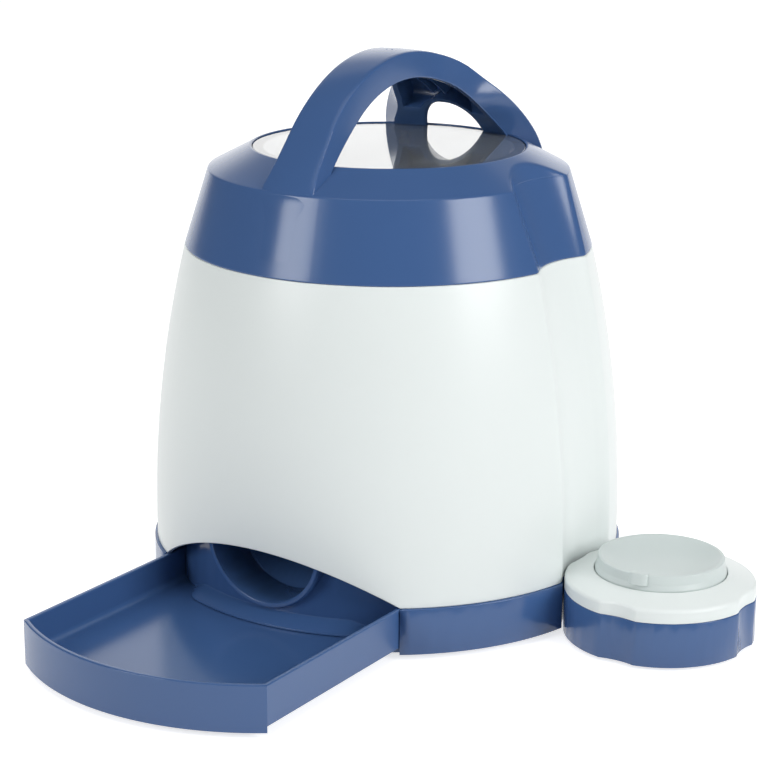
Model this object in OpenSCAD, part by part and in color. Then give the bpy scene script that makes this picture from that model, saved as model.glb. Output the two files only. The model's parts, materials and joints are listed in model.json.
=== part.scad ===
/* [Base] */
// Outer diameter of the round base
base_d = 197; // [187:1:240]
// Height of the base, without its feet
base_h = 18.7; // [18.6:0.1:24]
// Wall of the base
base_wall = 2.2; // [1.6:0.1:3]
// Thickness of the base's bottom plate
floor_t = 2.2; // [1.8:0.1:3]
// Height of the rubber feet
foot_h = 2.4; // [2:0.1:6]
// Diameter of a rubber foot
foot_d = 12.5; // [8:0.5:16]
// Bearing angle of the feet, from straight ahead
foot_angle = 47; // [44:1:50]

/* [Body shell] */
// How far the base stands proud of the shell
ledge = 1.1; // [0.8:0.1:4]
// Height of the shell
shell_h = 124.1; // [110:0.1:150]
// Wall of the shell
shell_wall = 2; // [1.5:0.1:3]
// Radius of the shell's bow, seen from the side
bow_r = 477; // [400:1:700]
// Height above the base where the bow is widest
bow_rise = 10; // [0:1:30]
// Depth of the two flutes down the sides
flute_depth = 7; // [4:0.5:8]
// Width of the arched front opening at its foot
arch_w = 114; // [108:1:124]
// Height of the arched front opening
arch_h = 18.5; // [16:0.5:26]

/* [Outlet] */
// Bore of the round outlet
outlet_d = 50; // [44:1:60]
// Wall of the outlet's collar
outlet_wall = 2; // [1.5:0.1:3]
// Height of the collar's lowest point above the tray's bed
outlet_sill = 5.9; // [1:0.1:8]
// How far the wall behind the front opening is set in from the base's edge
front_set_in = 10; // [9:0.5:13]

/* [Tray] */
// Width of the tray
tray_w = 114; // [94:1:136]
// Wall of the tray
tray_wall = 2; // [1.5:0.1:3]
// Depth inside the tray
tray_depth = 13.3; // [9:0.1:14]
// How far the tray pulls out
tray_travel = 86.2; // [70:0.1:104]

/* [Lid] */
// Height of the lid's side wall
lid_wall_h = 31.2; // [24:0.1:40]
// Lean of the lid's side wall, in degrees
lid_lean = 17.5; // [14:0.1:20]
// Lean of the two flutes in the lid, in degrees
lid_flute_lean = 22; // [18:0.5:24]
// Rounding where the side wall turns into the slope
lid_edge_r = 2; // [2:0.5:4]
// Rise of the sloped top from the side wall to the window
slope_rise = 8.9; // [6:0.1:14]
// Diameter of the window
window_d = 111; // [90:1:116]
// Thickness of the window
window_t = 2.5; // [2:0.1:4]
// Wall of the lid
lid_wall = 2.2; // [1.6:0.1:3]

/* [Handle] */
// Outer radius of the handle's arch
handle_r = 74; // [72:0.5:90]
// Thickness of the handle's arch
handle_t = 10.7; // [9:0.1:13]
// Height of the handle above the window
handle_h = 38; // [34:0.5:46]
// Width of the front leg
handle_w = 19; // [16:0.5:24]
// Width over the two rear legs
handle_rear_w = 74; // [66:1:80]
// Width of the gap between the rear legs
handle_gap_w = 40; // [30:1:44]
// Wall of the handle's hollow underside
handle_wall = 2.6; // [2:0.1:3.5]

/* [Remote button] */
// Diameter of the remote button
remote_d = 76; // [64:1:92]
// Height of the remote's blue lower half
remote_h = 18; // [16.5:0.1:22]
// Height of the remote's feet
remote_foot_h = 1.5; // [1:0.1:3]
// Clearance between the docked remote and the flute
dock_gap = 0.6; // [0.4:0.1:1]
// Radius of the four shallow scallops
scallop_r = 25; // [20:1:30]
// Depth of the scallops
scallop_depth = 1.8; // [1:0.1:2.5]
// Width of the white ring around the press cup
ring_w = 13; // [11:0.5:15]
// Height of the cup's rim above the remote's top
cup_rise = 6; // [5:0.1:8]
// Travel of the press cup
cup_travel = 2; // [1:0.1:2.5]
// Wall of the remote's mouldings
remote_wall = 2; // [1.6:0.1:2.5]

/* [Works] */
// Height of the dispensing wheel's axle above the base
axle_rise = 62.3; // [60:0.1:66]
// Radius of the dispensing wheel
wheel_r = 24; // [20:0.5:29]
// Half the width inside the wheel housing
housing_half = 24.5; // [20:0.5:30]
// Vanes on the dispensing wheel
vane_count = 6; // [4:1:8]
// Teeth on the driven gear
gear_teeth = 36; // [30:1:42]
// Teeth on the motor pinion
pinion_teeth = 12; // [10:1:14]
// Module of the gear teeth
tooth_m = 1; // [0.9:0.05:1.05]
// Radius of the motor's can
motor_r = 12; // [10:0.5:15]
// Length of the motor's can
motor_l = 30; // [24:1:36]

/* [Hidden] */
$fn = 96;

// Colours
blue = [0.22, 0.33, 0.55];
white = [0.89, 0.92, 0.91];
dark = [0.12, 0.12, 0.13];
steel = [0.70, 0.71, 0.73];
brass = [0.78, 0.64, 0.30];
frosted = [0.78, 0.83, 0.81, 0.7];
clear = [0.80, 0.84, 0.86, 0.35];
green = [0.10, 0.35, 0.20];
grey = [0.55, 0.57, 0.58];

// Clearances: sliding fit, turning fit, press fit, and how far a cut runs past a face
slip = 0.3;
rub = 0.05;
press = 0.02;
past = 1;
lap = 0.01;

// Heights above the ground
deck_t = 2;
z_base = foot_h;
z_floor = foot_h + floor_t;
z_rim = foot_h + base_h;
z_deck = z_rim + slip;
z_deck_top = z_deck + deck_t;
z_bed = z_rim - tray_depth;
z_outlet = z_bed + outlet_sill + outlet_wall + outlet_d / 2;
z_axle = z_rim + axle_rise;
z_joint = z_rim + shell_h;
z_window = z_joint + lid_wall_h + slope_rise;
z_arch = z_window + handle_h - handle_r;

// Radii and places around the feeder's axis
base_r = base_d / 2;
shell_r = base_r - ledge;
front_wall_r = base_r - front_set_in;
remote_r = remote_d / 2;
flute_r = remote_r + dock_gap;
dock_x = shell_r - flute_depth + flute_r;
flute_from = -6;
flute_turn = 30;
rim_w = 7;
rim_t = 2;
lip_h = 3.3;
deck_gap = 1.2;
foot_ring = base_r - foot_d / 2 - 5.7;
foot_bevel = 0.8;

// Battery bay in the base
cell_r = 7.2;
cell_l = 50.5;
cell_pitch = 15;
cell_count = 4;
nub_r = 2.7;
nub_h = 1.4;
bay_w = cell_pitch * cell_count + 2;
bay_l = cell_l + 3.5;
bay_wall = 1.6;
bay_set_in = 4.3;
bay_corner_r = base_r - base_wall - bay_set_in;
bay_y = sqrt(pow(bay_corner_r, 2) - pow(bay_w / 2 + bay_wall, 2)) - bay_wall - bay_l;
door_t = 2;
z_cell = z_base + door_t + slip + cell_r;
z_bay_top = z_cell + cell_r + slip;
leaf_t = 0.5;
leaf_h = 10;

// Tray
tray_half = tray_w / 2;
tray_gap = 0.4;
tray_stop = 5.5;
tray_front = base_r + tray_travel;
tray_rear = tray_travel - bay_y + tray_stop;
bed_t = 2;
guide_h = 7;
guide_end = 8;

// Screws and posts that hold the case together
post_r = 4.5;
post_bore = 1.7;
post_ring = base_r - 15;
screw_r = 1.5;
screw_head_r = 3;
screw_head_h = 2;
screw_sink = 0.6;
screw_bite = 8;
front_post_x = tray_half + 14;
rear_post_x = bay_w / 2 + 17;
front_post = [front_post_x, -sqrt(post_ring * post_ring - front_post_x * front_post_x)];
rear_post = [rear_post_x, sqrt(post_ring * post_ring - rear_post_x * rear_post_x)];
lug_h = 12;
web_t = 3;

// Where the object's own frame lies: the middle of the box that the whole object fills
scallop_off = remote_r - scallop_depth + scallop_r;
scallop_x = (pow(remote_r, 2) - pow(scallop_r, 2) + pow(scallop_off, 2)) / (2 * scallop_off);
flute_x = (pow(base_r, 2) - pow(flute_r, 2) + pow(dock_x, 2)) / (2 * dock_x);
frame_x = (dock_x + scallop_x - flute_x) / 2;
frame_y = (base_r - tray_front) / 2;

// Power switch under the base
switch_at = [-rear_post_x, bay_y + 15];
switch_travel = 3;
switch_h = 6;
switch_margin = 4;
knob_w = 4;
knob_l = 5;
knob_out = 1;
knob_h = 6.2;
groove_w = 0.5;
groove_pitch = 1.2;

// Front wall behind the arch
wall_t = 2;
wall_half = arch_w / 2 + 4;
wall_top = z_rim + arch_h + 8;
apron_half = tray_half - tray_wall - 0.8;
z_apron = z_bed + 0.6;
wall_back = 20;

// Lid's outline
lid_foot_r = bow(z_joint);
slope_foot = [lid_foot_r - lid_wall_h * tan(lid_lean), z_joint + lid_wall_h];
window_r = window_d / 2;
window_edge = 1.2;
window_gap = 0.25;
seat_w = 4.5;
seat_t = 1.8;

// Hopper's mouth, drawn in step by step from the lid's foot
mouth_lip = lid_wall + 1.2;
mouth_hole = mouth_lip + 1.6;
mouth_drop = mouth_hole + 0.4;
mouth_cone = mouth_drop + 3;
mouth_h = 4;
hopper_lip = 1.5;
flute_ease = 0.2;
skin = 1.8;

// Handle
handle_in = handle_r - handle_t;
handle_half = handle_w / 2;
handle_set_in = 1;
lid_seat = slope_foot[0] - window_r - window_edge;
handle_screw_ring = window_r + window_edge + 0.3 * lid_seat;
handle_screw_angle = 63.4;
handle_boss_r = 3.6;
handle_bore = 1.5;
lid_bore = 1.6;
z_handle_screw = z_window - 10;
spread_r = 78;
spread_y = 4;
flare_r = 92;
flare_y = -45;
crotch_r = 13.5;
crotch_y = 55;
crotch_out = 9;
rib_x = 3;
rib_t = 1.2;
hollow_rise = 8;

// Wheel housing, chute and spout
spout_r = housing_half - 3.3;
spout_h = 3.5;
spout_room = 5;
z_spout = z_axle + wheel_r + 2;
housing_r = wheel_r + 1;
housing_wall = 2;
chute_r = housing_half - 2.1;
chute_y = -(base_r - 28);
chute_angle = atan2(z_axle - z_outlet, -chute_y);
chute_room = 6;
chute_end = 2;
chute_slot = ((chute_r + housing_wall) / cos(chute_angle) - z_outlet + z_deck_top) / tan(chute_angle);
collar_y = -(front_wall_r + 1);
housing_foot = [28, 12];
housing_foot_y = 6;
housing_screw_x = 8;
housing_bite = 10;
cover_screw_r = 1;
cover_head_r = 1.8;
cover_head_h = 1.2;
cover_screw_ring = housing_r - 3;

// Wheel, gears and motor
axle_r = 3;
axle_end = 1;
hub_t = 4;
vane_t = 2;
bearing_t = 3;
bearing_h = 1.5;
gear_x = housing_half + 4.5;
gear_t = 5;
mesh_gap = 0.15;
mesh_y = tooth_m * (gear_teeth + pinion_teeth) / 2 + mesh_gap;
pinion_over = 0.5;
bracket_x = gear_x + gear_t + 2;
bracket_t = 2;
bracket_foot = 16;
bracket_front = -10;
bracket_back = mesh_y + motor_r + 4;
bracket_top = z_axle + motor_r + 3;
bracket_screw_in = 6;
bracket_screw_x = bracket_x + 11;
motor_x = bracket_x + bracket_t;
motor_boss_r = 5;
motor_tail = 2;
motor_screw_y = 8;
motor_screw_bore = 1.05;
pin_r = 1.5;
pin_in = 8;

// Control board
board = [38, 50, 1.6];
board_edge = 10.2;
board_at = [rim_w + deck_gap + board_edge + flute_depth - shell_r, -12];
standoff_h = 4;
standoff_r = 2.6;
standoff_in = 4;
z_chips = z_deck_top + standoff_h + board[2];

// Remote button
z_remote = remote_foot_h;
z_split = remote_foot_h + remote_h;
ring_edge_h = 5.3;
ring_rise = 3.2;
ring_land = 0.8;
ring_in = 0.1;
z_ring = z_split + ring_edge_h + ring_rise;
cup_r = remote_r - ring_w;
cup_flare = 1;
cup_wall = 2;
cup_lip = 0.5;
dish_w = 5;
dish_depth = 5;
dish_round = 1.5;
flange_w = 1.6;
flange_t = 1.2;
flange_drop = 2.7;
stop_r = 12;
stop_t = 1.5;
ring_bore = cup_r + cup_flare + slip;
z_cup = z_ring + cup_rise;
z_dish = z_cup - dish_depth;
z_flange = z_ring - remote_wall - flange_drop;
aaa_r = 5.2;
aaa_l = 44.5;
aaa_pitch = 10.8;
aaa_nub_r = 1.9;
aaa_nub_h = 1;
aaa_leaf_h = 8;
pocket_w = 2 * aaa_pitch + 1.6;
pocket_l = aaa_l + 4;
pocket_wall = 1.4;
z_aaa = z_remote + remote_wall + slip + aaa_r;
z_pocket = z_aaa + aaa_r + slip;
z_remote_board = z_pocket + pocket_wall;
pcb_r = 22;
pcb_t = 1.6;
z_dome = z_remote_board + pcb_t;
dome_r = 9;
dome_top_r = 4.5;
dome_wall = 2;
dome_skirt = 1;
remote_post = remote_r - 6;
remote_post_r = 2.8;
remote_screw_r = 1.1;
remote_head_r = 2;
remote_head_h = 1.4;
remote_sink = 1.6;
remote_bite = 3.4;
remote_foot_r = 2.5;
remote_foot_in = 2;

// Radius of the bowed shell at a height
function bow(z, inset = 0) =
  shell_r - inset - bow_r + sqrt(bow_r * bow_r - pow(z - z_rim - bow_rise, 2));

// Points of the round that joins lines a-b and b-c
function round_corner(a, b, c, r, n = 8) =
  let (
    u = (a - b) / norm(a - b),
    v = (c - b) / norm(c - b),
    half = acos(u * v) / 2,
    mid = b + (u + v) / norm(u + v) * r / sin(half),
    p = b + u * r / tan(half) - mid,
    q = b + v * r / tan(half) - mid,
    t0 = atan2(p[1], p[0]),
    turn = atan2(p[0] * q[1] - p[1] * q[0], p * q)
  )
  [for (i = [0:n]) mid + r * [cos(t0 + turn * i / n), sin(t0 + turn * i / n)]];

// Outline of a plain straight-toothed gear; each corner is a radius and a share of the pitch
function gear_outline(teeth) =
  let (
    pitch = 360 / teeth,
    pitch_r = tooth_m * teeth / 2,
    root = pitch_r - 1.2 * tooth_m,
    tip = pitch_r + 0.9 * tooth_m,
    corner = [[root, -0.29], [tip, -0.11], [tip, 0.11], [root, 0.29]]
  )
  [for (i = [0:teeth - 1], k = corner) k[0] * [cos(pitch * (i + k[1])), sin(pitch * (i + k[1]))]];

// Outline of the bowed shell between two heights, drawn in by inset
function bow_outline(z0, z1, inset, n = 14) =
  [for (i = [0:n]) let (z = z0 + (z1 - z0) * i / n) [bow(z, inset), z]];

// Outline of the lid from its foot to the window, drawn in by inset
function lid_outline(inset) =
  let (
    foot = [lid_foot_r - inset, z_joint],
    rim = [window_r + window_edge, z_window - inset],
    edge = slope_foot - [inset, inset]
  )
  concat([foot], round_corner(foot, edge, rim, lid_edge_r), [rim]);

// Puts a piece that is drawn about the feeder's axis into the object's own frame
module placed() translate([-frame_x, -frame_y, 0]) children();

// Puts a piece that is drawn about the remote's axis into the object's own frame
module docked() placed() translate([dock_x, 0, 0]) children();

module both_sides() {
  children();
  mirror([1, 0, 0]) children();
}

// Lays a solid that is drawn along +Z along the wheel's axle, from x on
module on_axle(x, y = 0) translate([x, y, z_axle]) rotate([90, 0, 90]) children();

// A pan-head screw standing on its head, with the head's underside at z = 0
module screw(length, r = screw_r, head_r = screw_head_r, head_h = screw_head_h) {
  translate([0, 0, -head_h]) cylinder(r = head_r, h = head_h);
  translate([0, 0, -head_h]) cylinder(r = r, h = head_h + length);
}

module at_posts() both_sides() for (p = [front_post, rear_post]) translate(p) children();

// Outline of the base with its two flutes, drawn in by inset
module footprint(inset) difference() {
  circle(r = base_r - inset);
  for (s = [-1, 1]) translate([s * dock_x, 0]) circle(r = flute_r + inset);
}

// The two flutes, which follow the bow of the shell
module flutes(grow) both_sides()
  translate([shell_r - bow_r, 0, z_rim + bow_rise]) rotate([90, 0, 0]) rotate([0, 0, flute_from])
    rotate_extrude(angle = flute_turn, $fn = 360)
      translate([bow_r - flute_depth + flute_r, 0]) circle(r = flute_r + grow);

// The lid's part of the two flutes, which starts where the shell's part ends and leans in further
module lid_flutes(grow) both_sides()
  translate([lid_foot_r - flute_depth - flute_ease + flute_r / cos(lid_flute_lean), 0, z_joint])
    rotate([0, -lid_flute_lean, 0]) translate([0, 0, -flute_r])
      cylinder(r = flute_r + grow, h = 2 * flute_r + lid_wall_h + slope_rise);

// The bowed body as a solid, drawn in by inset, between two heights
module bowed(z0, z1, inset) difference() {
  rotate_extrude() polygon(concat([[0, z0]], bow_outline(z0, z1, inset), [[0, z1]]));
  flutes(inset);
}

module lid_solid(inset) difference() {
  rotate_extrude() polygon(concat([[0, z_joint]], lid_outline(inset), [[0, z_window - inset]]));
  lid_flutes(inset);
}

module base_tub() color(blue) placed() difference() {
  union() {
    translate([0, 0, z_base]) linear_extrude(base_h) difference() {
      footprint(0);
      footprint(base_wall);
    }
    translate([0, 0, z_base]) linear_extrude(floor_t) footprint(base_wall / 2);
    translate([0, 0, z_rim - rim_t]) linear_extrude(rim_t) difference() {
      footprint(base_wall / 2);
      footprint(rim_w);
    }
    translate([0, 0, z_rim - lap]) linear_extrude(lip_h) difference() {
      footprint(ledge + shell_wall + slip);
      footprint(rim_w);
    }
    at_posts() translate([0, 0, z_base]) cylinder(r = post_r, h = z_deck - z_base);
    both_sides() translate([tray_half + tray_gap, -tray_rear, z_base])
      cube([base_wall, tray_rear + bay_y - bay_wall - guide_end, floor_t + guide_h]);
    translate([-bay_w / 2 - bay_wall, bay_y - bay_wall, z_base])
      cube([bay_w + 2 * bay_wall, bay_l + 2 * bay_wall, z_bay_top + bay_wall - z_base]);
  }
  translate([-bay_w / 2, bay_y, z_base - past]) cube([bay_w, bay_l, z_bay_top - z_base + past]);
  tray_slot(z_floor, base_r + past - tray_rear, base_h + lip_h);
  difference() {
    tray_slot(z_base - past, base_r, floor_t + 2 * past);
    translate([0, 0, z_base - 2 * past])
      cylinder(r = base_r - tray_wall - 2 * tray_gap, h = floor_t + 4 * past);
  }
  at_posts() translate([0, 0, z_base - past]) {
    cylinder(r = post_bore, h = z_deck - z_base + 2 * past);
    cylinder(r = screw_head_r + slip, h = screw_head_h + screw_sink + past);
  }
  switch_slot(z_base - past, floor_t + 2 * past);
}

// The way that the tray takes through the front of the base
module tray_slot(z, length, h) translate([-tray_half - tray_gap, -base_r - past, z])
  cube([tray_w + 2 * tray_gap, length, h]);

// The way that the switch's knob takes
module switch_slot(z, h)
  translate([switch_at[0] - knob_w / 2 - slip, switch_at[1] - knob_l / 2 - slip, z])
    cube([knob_w + switch_travel + 2 * slip, knob_l + 2 * slip, h]);

module base_feet() color(dark) placed() both_sides() for (a = [foot_angle, 180 - foot_angle])
  translate([foot_ring * sin(a), -foot_ring * cos(a), 0]) {
    cylinder(r1 = foot_d / 2 - foot_bevel, r2 = foot_d / 2, h = foot_bevel);
    translate([0, 0, foot_bevel]) cylinder(r = foot_d / 2, h = foot_h - foot_bevel);
  }

// A row of finger grooves in the underside of a door
module door_grooves(count, w, pitch, depth) for (i = [0:count - 1])
  translate([-w / 2, i * pitch, -past]) cube([w, pitch / 2, depth + past]);

module battery_door() color(blue) placed() translate([0, bay_y, z_base]) difference() {
  translate([-bay_w / 2 + slip, slip, 0]) cube([bay_w - 2 * slip, bay_l - 2 * slip, door_t]);
  translate([0, cell_r / 2, 0]) door_grooves(4, 2.5 * cell_r, 2.4, 0.7);
}

// A dry cell standing on its flat end
module dry_cell(r, length, tip_r, tip_h) {
  cylinder(r = r - rub, h = length - tip_h);
  translate([0, 0, length - tip_h - lap]) cylinder(r = tip_r, h = tip_h + lap);
}

module battery_cells() color(steel) placed() for (i = [0:cell_count - 1])
  translate([(i - (cell_count - 1) / 2) * cell_pitch, bay_y + bay_l / 2, z_cell])
    rotate([i % 2 == 0 ? 90 : -90, 0, 0]) translate([0, 0, -cell_l / 2])
      dry_cell(cell_r, cell_l, nub_r, nub_h);

module battery_contacts() color(brass) placed() for (end = [0, 1])
  translate([0, bay_y + bay_l / 2, z_cell]) mirror([0, end, 0]) {
    translate([-bay_w / 2 + past, -bay_l / 2, -leaf_h / 2]) cube([bay_w - 2 * past, leaf_t, leaf_h]);
    for (i = [0:cell_count - 1]) if ((i % 2 == 0) == (end == 1))
      translate([(i - (cell_count - 1) / 2) * cell_pitch, -bay_l / 2 + leaf_t - lap, 0])
        rotate([-90, 0, 0]) contact_cone(cell_r, (bay_l - cell_l) / 2 - leaf_t);
  }

// The conical spring that presses on a cell's flat end
module contact_cone(r, h) cylinder(r1 = 0.62 * r, r2 = 0.35 * r, h = h + lap - rub);

module switch_body() color(dark) placed() difference() {
  translate([switch_at[0] - knob_w / 2 - switch_margin, switch_at[1] - knob_l / 2 - switch_margin, z_floor])
    cube([knob_w + switch_travel + 2 * switch_margin, knob_l + 2 * switch_margin, switch_h]);
  switch_slot(z_floor - past, switch_h - past);
}

module switch_knob() color(grey) placed() translate([switch_at[0], switch_at[1], z_base]) difference() {
  translate([-knob_w / 2, -knob_l / 2, -knob_out]) cube([knob_w, knob_l, knob_h]);
  for (x = [-1, 0, 1]) translate([x * groove_pitch - groove_w / 2, -knob_l, -knob_out - groove_w])
    cube([groove_w, 2 * knob_l, 2 * groove_w]);
}

module at_housing_screws() both_sides()
  translate([housing_screw_x, housing_foot_y + housing_foot[1] / 2, 0]) children();

module at_bracket_screws() for (y = [bracket_front + bracket_screw_in, bracket_back - bracket_screw_in])
  translate([bracket_screw_x, y, 0]) children();

module at_motor_screws() for (s = [-1, 1]) translate([s * motor_screw_y, 0, 0]) children();

module at_cover_screws() for (a = [45:90:315]) rotate(a) translate([cover_screw_ring, 0, 0]) children();

// Front wall, outlet collar and deck in one moulding
module chassis() color(blue) placed() difference() {
  union() {
    front_wall();
    translate([0, 0, z_deck]) linear_extrude(deck_t) difference() {
      footprint(rim_w + deck_gap);
      difference() {
        translate([-wall_half - past, -base_r]) square([2 * (wall_half + past), base_r]);
        circle(r = front_wall_r - wall_t / 2);
      }
    }
    translate([0, collar_y, z_outlet]) rotate([-90, 0, 0])
      cylinder(r = outlet_d / 2 + outlet_wall, h = chute_y - collar_y);
    for (x = [standoff_in, board[0] - standoff_in], y = [standoff_in, board[1] - standoff_in])
      translate([board_at[0] + x, board_at[1] + y, z_deck]) cylinder(r = standoff_r, h = deck_t + standoff_h);
  }
  translate([0, collar_y - past, z_outlet]) rotate([-90, 0, 0])
    cylinder(r = outlet_d / 2, h = chute_y - collar_y + 2 * past);
  translate([-chute_r - housing_wall - past, chute_y, z_deck - past])
    cube([2 * (chute_r + housing_wall + past), chute_slot + chute_room, deck_t + 2 * past]);
  translate([0, 0, z_deck - past]) {
    at_posts() cylinder(r = post_bore, h = deck_t + 2 * past);
    at_housing_screws() cylinder(r = screw_r + rub, h = deck_t + 2 * past);
    at_bracket_screws() cylinder(r = screw_r + rub, h = deck_t + 2 * past);
  }
}

// Curved wall behind the arch, with an apron that reaches down into the tray
module front_wall() intersection() {
  translate([0, 0, z_apron]) linear_extrude(wall_top - z_apron) difference() {
    circle(r = front_wall_r);
    circle(r = front_wall_r - wall_t);
  }
  union() {
    translate([-wall_half, -base_r, z_deck]) cube([2 * wall_half, base_r - wall_back, wall_top]);
    translate([-apron_half, -base_r, 0]) cube([2 * apron_half, base_r - wall_back, wall_top]);
  }
}

module body_shell() color(white) placed() {
  arch_r = (pow(arch_w / 2, 2) + arch_h * arch_h) / (2 * arch_h);
  difference() {
    union() {
      difference() {
        bowed(z_rim, z_joint, 0);
        bowed(z_rim - past, z_joint - rim_t, shell_wall);
        translate([0, 0, z_joint - rim_t - past]) linear_extrude(rim_t + 2 * past) hopper_mouth(mouth_hole);
      }
      intersection() {
        at_posts() shell_lug();
        bowed(z_rim, z_joint, shell_wall / 2);
      }
    }
    translate([0, -base_r / 2, z_rim + arch_h - arch_r]) rotate([90, 0, 0]) cylinder(r = arch_r, h = base_r);
    at_posts() translate([0, 0, z_deck_top - past]) cylinder(r = screw_r + rub, h = lug_h);
  }
}

// Boss that takes a case screw, with a web out to the shell
module shell_lug() {
  z_web = z_rim + lip_h + slip;
  translate([0, 0, z_deck_top]) cylinder(r = post_r, h = lug_h);
  translate([0, -web_t / 2, z_web]) cube([base_r / 2, web_t, z_deck_top + lug_h - z_web]);
}

// Outline of the hopper's mouth, drawn in from the shell's top edge
module hopper_mouth(inset) difference() {
  circle(r = lid_foot_r - inset);
  for (s = [-1, 1]) translate([s * (lid_foot_r - flute_depth - flute_ease + flute_r), 0])
    circle(r = flute_r + inset);
}

module case_screws() color(steel) placed() at_posts()
  translate([0, 0, z_base + screw_head_h + screw_sink])
    screw(z_deck_top + screw_bite - z_base - screw_head_h);

// Tray: a drawer with a bowed front that closes flush with the base
module tray() color(blue) placed() translate([0, -tray_travel, 0]) difference() {
  union() {
    intersection() {
      translate([0, 0, z_base]) cylinder(r = base_r, h = base_h);
      tray_bar(tray_half, z_floor + slip);
    }
    intersection() {
      translate([0, 0, z_base]) linear_extrude(base_h) difference() {
        circle(r = base_r);
        circle(r = base_r - tray_wall);
      }
      tray_bar(tray_half, z_base);
    }
  }
  intersection() {
    translate([0, 0, z_bed]) cylinder(r = base_r - tray_wall, h = base_h);
    translate([-tray_half + tray_wall, -base_r, z_bed])
      cube([tray_w - 2 * tray_wall, 2 * base_r, base_h]);
  }
  intersection() {
    cylinder(r = base_r - tray_wall, h = z_bed - bed_t);
    for (x = [-1, 0, 1]) translate([x * (tray_w - 2 * tray_wall) / 3, 0, 0]) tray_pocket();
  }
}

// The length of tray behind its front, as a bar from a height up
module tray_bar(half, z) translate([-half, -base_r - past, z])
  cube([2 * half, base_r + past + tray_travel - tray_rear, base_h]);

// One of the hollows between the runners under the tray
module tray_pocket() {
  pocket = (tray_w - 4 * tray_wall) / 3 - tray_wall;
  translate([-pocket / 2, -base_r, 0]) cube([pocket, 2 * base_r, z_bed - bed_t]);
}

module hopper() color(grey) placed() {
  cone_r = lid_foot_r - mouth_cone;
  z_cone = z_joint - mouth_h;
  z_neck = z_spout + spout_h;
  difference() {
    union() {
      translate([0, 0, z_joint]) linear_extrude(hopper_lip) hopper_mouth(mouth_lip);
      translate([0, 0, z_cone]) linear_extrude(mouth_h + lap) hopper_mouth(mouth_drop);
      difference() {
        translate([0, 0, z_neck]) cylinder(r1 = spout_r, r2 = cone_r + skin, h = z_cone + skin - z_neck);
        flutes(shell_wall + past);
      }
      translate([0, 0, z_spout]) cylinder(r = spout_r, h = spout_h + skin);
    }
    translate([0, 0, z_cone + skin - lap]) linear_extrude(mouth_h + hopper_lip)
      hopper_mouth(mouth_drop + skin);
    difference() {
      translate([0, 0, z_neck]) cylinder(r1 = spout_r - skin, r2 = cone_r, h = z_cone + skin - z_neck);
      flutes(shell_wall + past + skin);
    }
    translate([0, 0, z_spout - past]) cylinder(r = spout_r - skin, h = spout_h + 2 * past);
  }
}

// Inclined chute below the wheel, as a bar of the given radius
module chute_bar(r) translate([0, chute_y, z_outlet]) rotate([chute_angle - 90, 0, 0])
  translate([0, 0, -r]) cylinder(r = r, h = r - chute_y / cos(chute_angle));

module wheel_housing() color(blue) placed() difference() {
  union() {
    on_axle(-housing_half - housing_wall)
      cylinder(r = housing_r + housing_wall, h = 2 * housing_half + housing_wall);
    difference() {
      chute_bar(chute_r + housing_wall);
      translate([-base_r, chute_y - base_r, 0]) cube([2 * base_r, base_r, 2 * base_r]);
    }
    translate([0, 0, z_axle]) cylinder(r = spout_r + slip + housing_wall, h = wheel_r + spout_room);
    translate([-housing_foot[0] / 2, housing_foot_y, z_deck_top])
      cube([housing_foot[0], housing_foot[1], z_axle - z_deck_top]);
  }
  on_axle(-housing_half) cylinder(r = housing_r, h = 2 * housing_half + past);
  difference() {
    chute_bar(chute_r);
    translate([-base_r, -chute_end, 0]) cube([2 * base_r, base_r, 2 * base_r]);
  }
  translate([0, 0, z_axle]) cylinder(r = spout_r + slip, h = wheel_r + spout_room + past);
  on_axle(-housing_half - housing_wall - past) cylinder(r = axle_r + rub, h = housing_wall + 2 * past);
  at_housing_screws() translate([0, 0, z_deck_top - past])
    cylinder(r = screw_r + rub, h = housing_bite + 3 * past);
}

module housing_cover() color(white) placed() on_axle(housing_half) difference() {
  union() {
    cylinder(r = housing_r + housing_wall, h = housing_wall);
    cylinder(r = axle_r + bearing_t, h = housing_wall + bearing_h);
  }
  translate([0, 0, -past]) cylinder(r = axle_r + rub, h = housing_wall + bearing_h + 2 * past);
  translate([0, 0, -past]) at_cover_screws() cylinder(r = cover_screw_r, h = housing_wall + 2 * past);
}

module cover_screws() color(steel) placed() on_axle(housing_half + housing_wall) at_cover_screws()
  rotate([180, 0, 0])
    screw(housing_wall, r = cover_screw_r - rub, head_r = cover_head_r, head_h = cover_head_h);

module dispensing_wheel() color(grey) placed() on_axle(-housing_half + slip)
  linear_extrude(2 * (housing_half - slip)) difference() {
    union() {
      circle(r = axle_r + hub_t);
      for (i = [0:vane_count - 1]) rotate(i * 360 / vane_count)
        translate([axle_r + hub_t / 2, -vane_t / 2]) square([wheel_r - axle_r - hub_t / 2, vane_t]);
    }
    circle(r = axle_r + press);
  }

module wheel_shaft() color(steel) placed() on_axle(-housing_half - housing_wall - axle_end)
  cylinder(r = axle_r, h = gear_x + gear_t + housing_half + housing_wall + axle_end);

module driven_gear() color(white) placed() on_axle(gear_x) difference() {
  linear_extrude(gear_t) polygon(gear_outline(gear_teeth));
  translate([0, 0, -past]) cylinder(r = axle_r + press, h = gear_t + 2 * past);
}

module drive_pinion() color(brass) placed() on_axle(gear_x - pinion_over, mesh_y) difference() {
  rotate(pinion_teeth % 2 == 0 ? 180 / pinion_teeth : 0)
    linear_extrude(gear_t + 2 * pinion_over) polygon(gear_outline(pinion_teeth));
  translate([0, 0, -past]) cylinder(r = pin_r + press, h = gear_t + 2 * pinion_over + 2 * past);
}

module motor_shaft() color(steel) placed() on_axle(gear_x - 2 * pinion_over, mesh_y)
  cylinder(r = pin_r, h = motor_x + pin_in - gear_x);

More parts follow.
